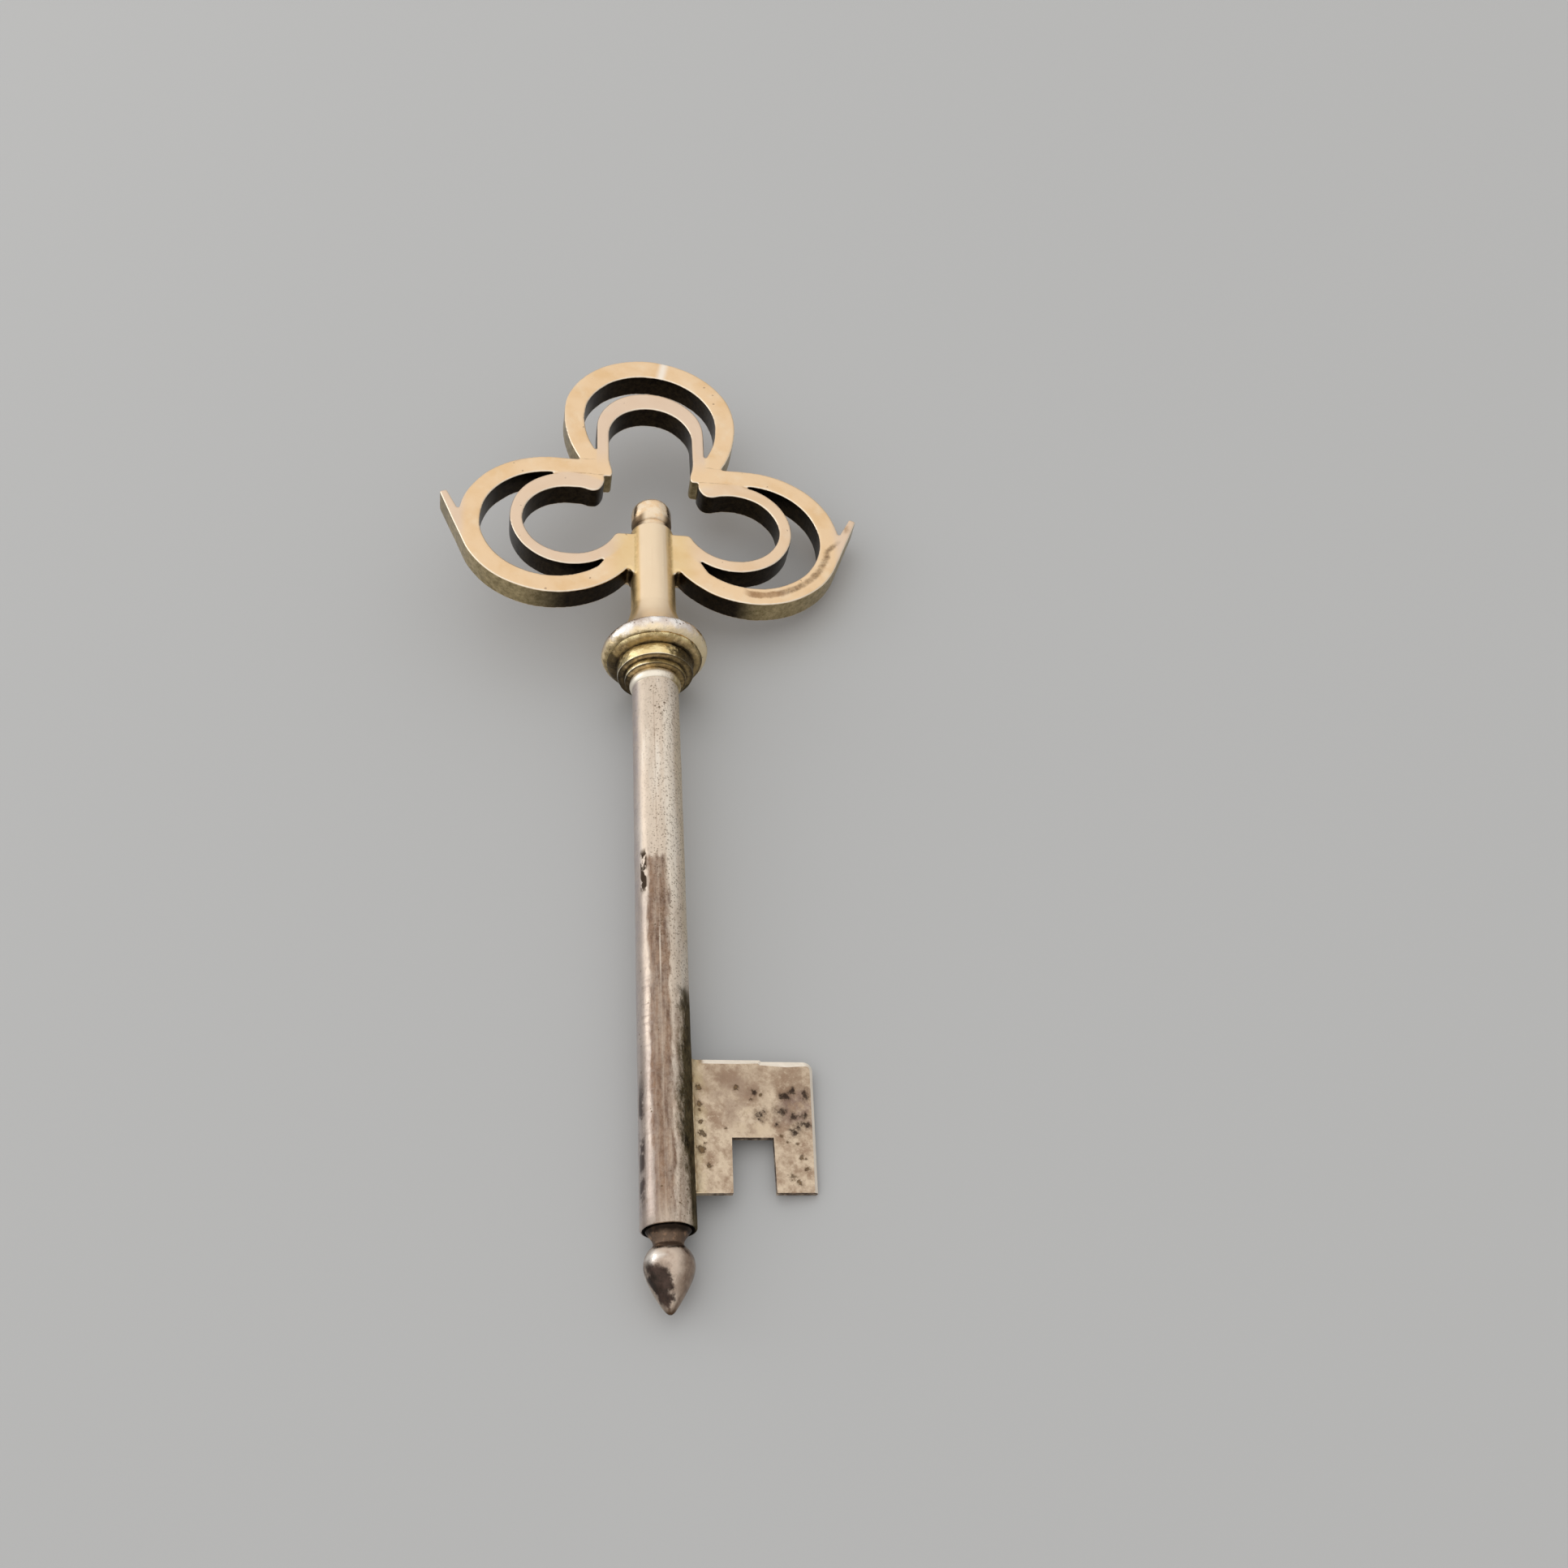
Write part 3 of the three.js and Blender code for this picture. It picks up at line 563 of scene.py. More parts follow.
def shank_silver():
    """Old drawn silver: pits, a brown patch in streaks, painted shade over black tarnished silver by the bit,
    and a pale band with a painted highlight.
    """
    f = Finish("shank_silver")
    wander = f.swung(f.cloud(1.6, detail=5.0, stretch=(1, 3, 1)), 0.9)
    angle = f.plus(f.round, wander)
    drawn = f.cloud(0.22, stretch=(1, 22, 1))
    upper = f.above(f.along, 18.0, 24.0)
    f.colour = f.mixed(SILVER, SILVER_PALE,
                       f.above(f.cloud(2.0, detail=5.0, stretch=(0.6, 4, 0.6)), 0.45, 0.7))
    f.coat((0.50, 0.41, 0.33), f.times(f.mottle(0.7, 10.0, (1, 5, 1)), 0.4))
    # Painted shade: greyer and less bright towards the far left edge
    f.coat((0.50, 0.44, 0.45),
           f.times(f.below(f.round, -1.15, -0.75), f.part(0.35, 0.85, f.mottle(0.8, 4.0))))
    worn = f.times(f.inside(f.round, -1.2, -0.42, 0.12), f.below(f.along, 26.0, 32.0))
    by_end = f.below(f.along, 11.0, 17.0)
    worn = f.times(worn, f.plus(0.25, f.times(f.mottle(0.9, 13.0, (1, 2, 1)), 0.5), f.times(by_end, 0.4)))
    f.coat((0.40, 0.33, 0.29), worn)
    f.coat((0.66, 0.55, 0.37), f.times(f.above(angle, 0.6, 1.15), upper, 0.5))
    # A pale painted reflection along the upper shank
    painted_sheen = f.times(f.inside(f.round, 0.18, 0.62, 0.1), f.inside(f.along, 25.0, 44.5, 1.0))
    f.coat((0.93, 0.85, 0.74),
           f.times(painted_sheen, f.part(0.35, 0.85, f.cloud(1.2, stretch=(1, 5, 1), offset=18.0))))
    # The brown patch, with a light line in it
    edge_angle = f.plus(f.round, f.times(wander, 0.4), f.swung(f.mottle(0.9, 6.0, (1, 3, 1)), 0.2))
    patch = f.times(f.inside(edge_angle, -0.62, 0.18, 0.1),
                    f.below(f.plus(f.along, f.times(drawn, 1.6)), 29.9, 30.4), f.above(f.along, -2.5, 3.0))
    streaks = f.above(f.cloud(0.5, detail=5.0, stretch=(0.8, 9, 0.8), offset=3.0), 0.32, 0.6)
    patch = f.times(patch, f.plus(0.5, f.times(streaks, 0.3), f.times(f.mottle(0.35, 7.0), 0.25)))
    line = f.times(f.inside(f.round, -0.2, -0.15, 0.03),
                   f.part(0.25, 1.0, f.inside(f.along, 18.8, 22.6, 0.8)))
    patch = f.times(patch, f.rest(f.times(line, 0.8)))
    brown = f.mixed((0.33, 0.215, 0.145), (0.15, 0.09, 0.065), f.mottle(0.5, 1.0, (1, 3, 1)))
    f.coat(brown, patch)
    second = f.times(f.inside(angle, 0.2, 0.55, 0.1), f.below(f.along, 15.0, 19.0),
                     f.mottle(0.7, 3.0, (1, 3, 1)))
    f.coat(brown, f.times(second, 0.75))
    # Painted shade over black tarnished silver on the side of the bit, and black tarnished spots by the
    # corner of its root
    near_end = f.times(f.most(f.calc("SUBTRACT", 7.0, f.along), 0.0), -0.065)
    near_top = f.times(f.most(f.plus(f.along, -10.0), 0.0), -0.04)
    fuzz = f.swung(f.mottle(0.5, 2.0, (1, 2, 1)), 0.34)
    reach = f.plus(f.round, f.times(wander, 0.35), fuzz, near_end, near_top)
    start = f.below(f.plus(f.along, f.times(wander, 3.0)), 16.8, 19.4)
    f.coat((0.28, 0.21, 0.13), f.times(f.above(reach, 0.12, 0.5), start, 0.5))
    tip = f.above(f.plus(f.spotted(SHANK_SPOTS), f.times(fuzz, 3.0)), -1.5, -0.3)
    f.coat((0.06, 0.045, 0.025), f.times(tip, 0.75))
    # Olive-brown painted shade beside the bit
    beside_bit = f.times(f.above(angle, 0.75, 1.1), f.below(f.along, 13.0, 16.0))
    f.coat(f.mixed((0.36, 0.30, 0.17), (0.20, 0.16, 0.09), f.mottle(0.6, 8.0)), f.times(beside_bit, 0.85))
    black = f.times(f.above(reach, 0.22, 0.66), start)
    f.coat(f.mixed((0.15, 0.12, 0.065), (0.016, 0.012, 0.007), f.mottle(0.6, 4.0, (1, 2, 1))), black)
    left_marks = f.times(f.inside(f.round, -1.38, -0.98, 0.08), f.inside(f.along, 1.5, 10.5, 1.2),
                         f.above(f.cloud(1.1, detail=6.0, offset=5.0), 0.40, 0.54))
    f.coat((0.06, 0.038, 0.034), f.times(left_marks, 0.9))
    ladder = f.times(f.above(f.cloud(0.34, detail=3.0, stretch=(6, 1, 6), offset=2.0), 0.5, 0.66),
                     f.inside(f.round, -1.05, -0.5, 0.08), f.below(f.along, 17.0, 22.0))
    f.coat((0.36, 0.29, 0.25), f.times(ladder, 0.75))
    # Pits, fewer where the shank turns away
    beside = f.times(f.inside(f.round, -0.97, -0.66, 0.06), f.inside(f.along, 26.4, 30.0, 0.4),
                     f.above(f.cloud(0.45, detail=6.0, stretch=(1, 2, 1), offset=9.0), 0.44, 0.53))
    fine = f.times(f.pits(0.22, keep=0.6, depth=0.38), f.above(f.plus(angle, f.times(upper, 0.7)), -0.3, 0.7))
    pepper = f.times(f.above(f.cloud(0.15, detail=2.0, stretch=(1, 1.6, 1), offset=15.0), 0.54, 0.68),
                     f.part(0.3, 1.0, f.above(f.plus(f.round, f.times(upper, 0.35)), -0.4, 0.9)))
    coarse = f.times(f.pits(0.6, keep=0.25, offset=4.0, depth=0.17), f.above(f.cloud(2.5), 0.35, 0.55))
    cluster = f.times(f.pits(0.34, keep=0.85, offset=7.0, depth=0.42), f.below(f.away(0.35, 44.0), 0.5, 1.1))
    turned_up = f.part(0.35, 1.0, f.below(f.size(f.round), 1.3, 1.9))
    marks = f.most(f.times(f.most(fine, f.times(pepper, 0.75)), turned_up, 0.75), coarse, cluster, beside)
    f.coat((0.11, 0.068, 0.03), f.times(marks, 0.85))
    f.coat((0.03, 0.018, 0.012), f.times(beside, 0.85))
    tube_seam = f.times(f.inside(f.plus(f.round, f.times(wander, 0.05)), -0.215, -0.19, 0.02),
                        f.inside(f.along, 31.0, 46.0, 1.0), f.above(f.cloud(2.0, offset=6.0), 0.4, 0.55))
    f.coat(COPPER_BROWN, f.times(tube_seam, 0.5))
    # The band: a pale painted highlight, and olive painted shade over tarnished silver on the side away from
    # the light
    at_band = f.above(f.along, 47.22, 47.3)
    fuzzy = f.plus(f.round, fuzz)
    f.coat((0.97, 0.90, 0.77), f.times(at_band, f.below(fuzzy, -0.2, 0.9), 0.85))
    olive = f.mixed((0.62, 0.48, 0.22), (0.22, 0.16, 0.07), f.mottle(0.5, 9.0))
    f.coat(olive, f.times(at_band, f.above(fuzzy, 0.35, 0.9), 0.85))
    # Painted shade, near black, in the dish at the shank's end
    hole = f.times(f.below(f.off_axis(), 1.8, 1.9), f.below(f.along, 0.5, 0.6))
    f.coat(SHADE_BLACK, hole)
    rough = f.plus(f.times(f.cloud(0.5, stretch=(1, 5, 1)), 0.14), 0.22,
                   f.times(f.most(marks, patch, black), 0.14),
                   f.times(upper, 0.08), f.times(black, 0.35), f.times(hole, 0.3))
    chatter = f.times(f.cloud(0.3, detail=3.0, stretch=(7, 1, 7), offset=2.0),
                      f.below(f.along, 13.0, 20.0), 0.3)
    height = f.plus(f.times(drawn, 0.25), f.times(f.cloud(0.7, stretch=(1, 3, 1)), 0.5), chatter,
                    f.times(marks, -0.2), f.times(tube_seam, -0.2))
    return f.ready(rough, height, depth=0.03)


def bead_silver():
    """Silver bead, clouded and dented, with painted highlights, a painted gold reflection at its sides and
    olive painted shade over tarnished silver under it.
    """
    f = Finish("bead_silver")
    cloudy = f.mottle(1.6, 2.0)
    f.colour = f.mixed((0.95, 0.88, 0.81), (0.62, 0.51, 0.45), cloudy)
    # Gold at the sides of the bead: a painted reflection of the gilt rings beside it
    f.coat((0.95, 0.75, 0.43), f.times(f.above(f.plus(f.size(f.across), cloudy), 3.2, 5.0), 0.8))
    low = f.plus(f.along, f.times(f.mottle(0.9, 6.0), 0.35))
    f.coat((0.98, 0.78, 0.46), f.times(f.below(low, 50.8, 51.5), 0.8))
    f.coat((0.80, 0.67, 0.42), f.times(f.above(f.plus(f.across, f.times(cloudy, 1.5)), 3.3, 5.0), 0.5))
    uneven = f.swung(cloudy, 1.2)
    f.coat((0.56, 0.46, 0.40), f.times(f.above(f.plus(f.spotted(BEAD_DULL_SPOTS), uneven), -1.6, -0.4), 0.8))
    # Painted highlights: white spots on the bead's crest
    f.coat((1.0, 0.98, 0.96),
           f.times(f.above(f.plus(f.spotted(BEAD_PAINTED_HIGHLIGHTS), uneven), -1.4, -0.3), 0.85))
    # Olive painted shade over tarnished silver under the bead's crest
    under = f.below(low, 50.62, 50.92)
    olive = f.mixed((0.52, 0.39, 0.18), (0.10, 0.07, 0.03), f.mottle(0.5, 3.0))
    f.coat(olive, f.times(under, f.part(0.85, 0.15, f.above(f.across, 0.2, 1.2))))
    short = f.pits(0.8, keep=0.22, offset=5.0, depth=0.16, stretch=(1, 0.4, 1))
    pits = f.most(f.pits(0.3, keep=0.08, offset=2.0), short)
    f.coat(BROWN, f.times(pits, 0.8))
    rough = f.plus(f.times(f.cloud(0.6), 0.16), 0.14, f.times(under, 0.2))
    height = f.plus(f.cloud(0.9, detail=3.0), f.times(pits, -0.2))
    return f.ready(rough, height, depth=0.11)


def bit_silver():
    """Dulled silver plate: mottled beige and brown, black spots at its free corner, pits along its joint."""
    f = Finish("bit_silver")
    broad = f.above(f.cloud(1.5, detail=7.0, roughness=0.62), 0.40, 0.66)
    f.colour = f.mixed((0.69, 0.56, 0.42), (0.38, 0.265, 0.185), broad)
    fine = f.cloud(0.3, roughness=0.65, offset=12.0)
    f.coat((0.34, 0.24, 0.16), f.times(f.above(fine, 0.5, 0.68), 0.45))
    f.coat((0.78, 0.66, 0.50), f.times(f.below(fine, 0.34, 0.46), 0.4))
    f.coat((0.30, 0.205, 0.14), f.times(f.inside(f.along, 9.4, 12.4, 0.6), f.mottle(1.5, 3.0), 0.6))
    middle = f.times(f.below(f.away(5.2, 9.7), 1.0, 3.2),
                     f.above(f.cloud(1.3, detail=7.0, roughness=0.65, offset=21.0), 0.38, 0.62))
    f.coat((0.34, 0.24, 0.18), f.times(middle, 0.55))
    light = f.times(f.below(f.away(6.4, 7.6), 0.6, 1.9),
                    f.above(f.cloud(0.8, detail=5.0, offset=8.0), 0.4, 0.6))
    f.coat((0.66, 0.53, 0.38), f.times(light, 0.7))
    corner = f.below(f.plus(f.away(9.7, 8.9), f.times(f.cloud(1.2, detail=3.0, offset=4.0), 1.6)), 1.5, 3.0)
    f.coat((0.26, 0.18, 0.16), f.times(corner, f.above(f.cloud(1.0, detail=5.0, offset=6.0), 0.4, 0.6), 0.7))
    joint = f.below(f.plus(f.across, f.times(f.mottle(1.2, 2.0), 0.9)), 2.4, 3.6)
    f.coat((0.58, 0.48, 0.28), f.times(joint, 0.5))
    grain = f.swung(f.cloud(0.45, 9.0, roughness=0.72, offset=7.0), 7.0)
    black = f.plus(f.spotted(BIT_BLACK_SPOTS), grain)
    brown = f.plus(f.spotted(BIT_BROWN_SPOTS), grain)
    halo = f.most(f.times(f.above(black, -3.4, -0.6), 0.6), f.times(f.above(brown, -2.2, -0.6), 0.35))
    f.coat((0.20, 0.13, 0.085), halo)
    f.coat((0.15, 0.09, 0.04), f.times(f.above(brown, -1.6, 0.2), 0.85))
    f.coat((0.035, 0.023, 0.018), f.times(f.above(black, -1.7, 0.2), 0.93))
    flat = f.size(f.facing((0, 0, 1)))
    filed = f.times(f.inside(flat, 0.6, 0.97, 0.015), f.above(f.across, 2.6, 3.0))
    f.coat((0.99, 0.90, 0.78), f.times(filed, 0.95))
    wall = f.times(f.below(flat, 0.25, 0.5), f.above(f.across, 3.0, 3.4))
    f.coat(BROWN, f.times(wall, f.above(f.cloud(0.5, offset=4.0), 0.3, 0.6)))
    rough = f.plus(f.times(f.cloud(0.8, offset=9.0), 0.25), 0.33, f.times(filed, -0.12))
    pits = f.most(f.above(brown, -0.9, -0.3), f.above(black, -0.9, -0.3))
    height = f.plus(f.cloud(0.5, detail=6.0, offset=2.0), f.times(pits, -0.6))
    return f.ready(rough, height, depth=0.05)


def finial_silver():
    """Hand-polished silver, its right half gone brown, with a painted highlight, a near-black painted
    reflection, a rough coppery neck and painted shade where it meets the shank.
    """
    f = Finish("finial_silver")
    wander = f.swung(f.cloud(1.1, detail=6.0), 0.7)
    angle = f.plus(f.round, wander)
    f.colour = f.mixed((0.60, 0.49, 0.40), (0.44, 0.34, 0.27),
                       f.above(f.cloud(0.9, detail=5.0, offset=2.0), 0.4, 0.65))
    right = f.times(f.above(angle, 0.25, 0.7), f.part(0.6, 1.1, f.cloud(0.5, detail=5.0, offset=1.0)))
    f.coat(f.mixed((0.44, 0.33, 0.25), (0.16, 0.10, 0.07), f.mottle(0.7, 11.0)), right)
    # Painted highlight at the upper left of the bud
    off_shine = f.plus(f.size(f.plus(f.round, 0.85)), f.size(f.plus(f.along, 2.15)))
    f.coat((0.97, 0.92, 0.86), f.times(f.below(off_shine, 0.25, 0.85), 0.65))
    # A near-black painted reflection over the lower left of the bud
    ragged = f.swung(f.mottle(1.0, 4.0), 0.5)
    slant = f.times(f.plus(f.round, 0.5), 0.5)
    painted_dark_reflection = f.times(f.inside(f.plus(angle, ragged), -1.35, 0.05, 0.2),
                   f.inside(f.plus(f.along, ragged, slant), -5.4, -2.75, 0.4))
    f.coat(f.mixed((0.060, 0.036, 0.030), (0.010, 0.007, 0.006), f.mottle(0.6)), f.times(painted_dark_reflection, 0.95))
    station = f.plus(f.along, wander)
    f.coat(BROWN, f.below(station, -5.6, -5.2))
    neck = f.above(station, -1.5, -1.1)
    copper = f.mixed((0.15, 0.10, 0.07), (0.42, 0.26, 0.16),
                     f.above(f.cloud(0.6, detail=6.0, offset=5.0), 0.5, 0.7))
    f.coat(copper, f.times(neck, 0.95))
    # Painted shade, near black, in the gap where the neck meets the shank's end
    f.coat(SHADE_BLACK, f.times(f.above(f.plus(f.along, f.times(wander, 0.6)), -0.5, -0.2), 0.9))
    rough = f.plus(f.times(neck, 0.3), f.times(f.cloud(0.4), 0.14), f.times(painted_dark_reflection, 0.1), 0.12)
    height = f.plus(f.cloud(0.4, detail=5.0), f.times(neck, f.cloud(0.25, detail=5.0, offset=2.0), 2.0))
    return f.ready(rough, height, depth=0.03)


def cap_gilt():
    """Bright pale dome with brown painted shade at the sides of its neck and on its right side."""
    f = Finish("cap_gilt")
    neck = f.below(f.plus(f.along, f.times(f.cloud(0.8, detail=5.0), 0.5)), 66.9, 67.4)
    f.colour = f.mixed(GILT_PALE, GILT, f.above(f.cloud(0.9, offset=1.0), 0.4, 0.6))
    # Brown painted shade at the sides of the neck under the dome, and on the cap's right side
    f.coat((0.14, 0.09, 0.05), f.times(neck, f.above(f.size(f.plus(f.across, -0.1)), 0.7, 1.3), 0.9))
    f.coat((0.20, 0.13, 0.07), f.times(f.above(f.across, 1.1, 1.7), 0.6))
    rough = f.plus(f.times(neck, 0.15), f.times(f.cloud(0.5), 0.12), 0.18)
    return f.ready(rough, f.cloud(0.4), depth=0.03)


# Pieces of the shank


def by_hand(mesh, size, amount):
    """Moves the surface in and out a little, as hand work leaves it."""
    for v in mesh.vertices:
        v.co += v.normal * noise.noise(v.co / size + Vector((3.1, 1.7, 5.3))) * amount
    return mesh


def turned_piece(name, outline, finish, slot, *nodes, wobble=0.02, tilt=0.0, shade_tarnish_share=None):
    """A turned piece, tilted about its middle and a little uneven, with how far painted shade and tarnished
    gilt cover it marked.
    """
    bm = turned(outline)
    if shade_tarnish_share:
        layer = bm.verts.layers.float.new("shade_tarnish_share")
        for v in bm.verts:
            v[layer] = shade_tarnish_share(math.hypot(v.co.x, v.co.z))
    if tilt:
        middle = (outline[0][0] + outline[-2][0]) / 2
        turn = Matrix.Rotation(math.radians(tilt), 3, "Z")
        bmesh.ops.rotate(bm, verts=bm.verts[:], cent=(0, middle, 0), matrix=turn)
    smooth_shaded(bm)
    mesh = by_hand(mesh_of(bm, name), 1.6, wobble)
    return laid_down(mesh, name, finish, slot, *nodes)


def shank(finish):
    """The shank, with a shallow dish in its end and close stations, so that hand work can show."""
    dish = 0.3
    rim = [(dish, 0), (dish, SHANK_RADIUS - 0.36), (0.06, SHANK_RADIUS - 0.2), (0.0, SHANK_RADIUS - 0.13),
           (0.03, SHANK_RADIUS - 0.05), (0.12, SHANK_RADIUS)]
    stations = [(0.8 * step, SHANK_RADIUS) for step in range(1, 59)]
    outline = [*rim, *stations, (SHANK_LENGTH, SHANK_RADIUS), (SHANK_LENGTH, 0)]
    turned_piece("shank", outline, finish, "silver", "shank_tube", wobble=0.03)


def finial(finish):
    """The bud, with its neck flared over the shank's end and its tenon in the bore."""
    body = [(-along * FINIAL_LENGTH, across * FINIAL_RADIUS) for along, across in reversed(FINIAL_OUTLINE)]
    outline = [(-FINIAL_LENGTH, 0), (-FINIAL_LENGTH, 0.12), *body, (-0.05, 1.6), (0.35, 1.58), (0.35, 0)]
    outline = [outline[0], *eased(outline[1:-2]), *outline[-2:]]
    turned_piece("finial", outline, finish, "silver", "tip_finial", wobble=0.05)


def bit(finish):
    """The bit plate, filed to a broad slope along its far edge and its outer edge."""
    bm = bmesh.new()
    start = last = bm.verts.new((1.0, BIT_START, 0))
    far_edge = BIT_END - BIT_STEP[1]
    for x, y in ((NOTCH[0] - 0.08, BIT_START), (NOTCH[0], BIT_START + NOTCH_DEPTH),
                 (NOTCH[1], BIT_START + NOTCH_DEPTH), (NOTCH[1], BIT_START),
                 (BIT_REACH - BIT_TAPER, BIT_START), (BIT_REACH, far_edge - BIT_CORNER)):
        last = line_to(bm, last, x, y)
    last = arc_to(bm, last, (BIT_REACH - BIT_CORNER, far_edge - BIT_CORNER), 90)
    for x, y in ((9.0, far_edge), (BIT_STEP[0], far_edge), (BIT_STEP[0] - BIT_STEP[1], BIT_END),
                 (5.4, BIT_END), (3.6, BIT_END), (1.0, BIT_END)):
        last = line_to(bm, last, x, y)
    raised(bm, start, last, BIT_THICKNESS)
    top = BIT_THICKNESS / 2

    def filed(edge):
        low, high = (v.co for v in edge.verts)
        on_top = low.z > 0 and high.z > 0
        far = min(low.y, high.y) > BIT_END - 1.5
        outer = min(low.x, high.x) > BIT_REACH - BIT_TAPER - 0.1
        return on_top and (far or outer)

    edges = [edge for edge in bm.edges if filed(edge)]
    bmesh.ops.bevel(bm, geom=edges, offset=SLOPE_WIDTH, affect="EDGES", segments=1, profile=0.5, material=-1)
    for v in bm.verts:
        if abs(v.co.z - (top - SLOPE_WIDTH)) < 0.02:
            v.co.z = top - SLOPE_DEPTH
        elif v.co.z > top - 0.01 and v.co.y > BIT_END - 0.8 and v.co.x < BIT_REACH - 1.3:
            v.co.y += noise.noise(v.co * 1.1) * 0.16
        elif v.co.z > top - 0.01 and BIT_REACH - 0.8 < v.co.x:
            v.co.x += 0.18
    bmesh.ops.triangulate(bm, faces=[face for face in bm.faces if len(face.verts) > 4])
    smooth_shaded(bm, 8)
    piece = laid_down(mesh_of(bm, "bit"), "bit", finish, "worn_silver", "bit_plate")
    rims = piece.modifiers.new("eased rims", "BEVEL")
    rims.width = 0.04 * MILLIMETRE
    rims.segments = 2
    rims.limit_method = "ANGLE"
    rims.angle_limit = math.radians(40)
    rims.harden_normals = True


def bit_solder(finish):
    """The run of solder along the shank that holds the bit, thin and uneven as it froze."""
    shapes = []
    for side in (1, -1):
        corners = [(1.5, 0.0), (2.7, 0.0), (2.65, 0.225 * side), (2.3, 0.27 * side), (2.08, 0.36 * side),
                   (1.97, 0.5 * side), (1.5, 0.7 * side)]
        bm = bmesh.new()
        bmesh.ops.contextual_create(bm, geom=[bm.verts.new((x, BIT_START + 0.06, z)) for x, z in corners])
        run = bmesh.ops.extrude_face_region(bm, geom=bm.faces[:])
        moved = [part for part in run["geom"] if isinstance(part, bmesh.types.BMVert)]
        bmesh.ops.translate(bm, verts=moved, vec=(0, BIT_END - BIT_START - 0.12, 0))
        bmesh.ops.recalc_face_normals(bm, faces=bm.faces[:])
        shapes.append(bm)
    mesh = soldered(shapes, "bit_solder", 0.08, 2)
    for v in mesh.vertices:
        lump = noise.noise(v.co * 0.9) * 0.05 + noise.noise(v.co * 3.0) * 0.04
        v.co += Vector((lump * 1.5, 0, lump * 0.5 * (1 if v.co.z > 0 else -1)))
    laid_down(mesh, "bit_solder", finish, "worn_silver")


# Pieces of the collar


def collar(silver, gilt, bead_finish):
    """The rings; the bead and the lip under it were soldered on slightly out of square."""
    low, high, radius = BAND
    low -= 0.06
    half_round = [(low + (high - low) * (1 - math.cos(a)) / 2,
                   SHANK_RADIUS - 0.02 + (radius - SHANK_RADIUS + 0.02) * math.sin(a))
                  for a in (math.pi * i / 12 for i in range(13))]
    turned_piece("band", [(low, RING_BORE), *half_round, (high, RING_BORE), (low, RING_BORE)],
                 silver, "silver", "shank_band")
    for name, outline, tilt, shade_tarnish_share in (("small_step", ring(*SMALL_STEP), 1.0, 0.95),
                                        ("large_step", ring(*LARGE_STEP), 1.5, 0.35)):
        turned_piece(name, outline, gilt, "silver_gilt", "collar_" + name, wobble=0.07, tilt=tilt,
                     shade_tarnish_share=lambda out: shade_tarnish_share)
    # The lip is rounded off, and only its flat face takes the full painted shade and tarnished gilt
    low, high, radius = LIP
    rounded = [(low, RING_BORE), (low, radius - 1.0), (low + 0.05, radius - 0.68),
               (low + 0.13, radius - 0.36), (low + 0.24, radius - 0.12), (high, radius),
               (high, RING_BORE), (low, RING_BORE)]
    turned_piece("lip", rounded, gilt, "silver_gilt", "collar_lip", wobble=0.06, tilt=2.5,
                 shade_tarnish_share=lambda out: 1 - step_between(3.2, 3.55, out))
    low, high, radius = BEAD
    half = (high - low) / 2
    bulge = [(low + half * (1 - math.cos(a)), radius - half + half * math.sin(a))
             for a in (math.pi * i / 20 for i in range(21))]
    turned_piece("bead", [(low, RING_BORE), *bulge, (high, RING_BORE), (low, RING_BORE)],
                 bead_finish, "silver", "collar_bead", wobble=0.05, tilt=3.5)


def flare(finish):
    low, high, radius = FLARE
    shares = [(0, 1), (0.12, 0.8), (0.28, 0.56), (0.45, 0.36), (0.62, 0.2), (0.8, 0.08), (1, 0)]
    start = low + FLARE_RIM
    sweep = [(start + along * (high - start), STEM_RADIUS + out * (radius - STEM_RADIUS))
             for along, out in shares]
    outline = [(low, RING_BORE), (low, radius), *eased(sweep), (high + 0.5, STEM_RADIUS + 0.01),
               (high + 0.55, STEM_RADIUS - 0.1), (high + 0.55, RING_BORE), (low, RING_BORE)]
    piece = turned_piece("flare", outline, finish, "silver_gilt", "collar_flare")
    marked(piece.data, "round_stem", lambda place: 1.0)


# Pieces of the bow


def mirrored_to(bm, side):
    """The shape as drawn for the side of the bit, or turned over to the other side."""
    if side < 0:
        bmesh.ops.scale(bm, verts=bm.verts[:], vec=(-1, 1, 1))
        bmesh.ops.recalc_face_normals(bm, faces=bm.faces[:])
    return bm


def polar(centre, radius, degrees):
    angle = math.radians(degrees)
    return (centre[0] + radius * math.cos(angle), centre[1] + radius * math.sin(angle))


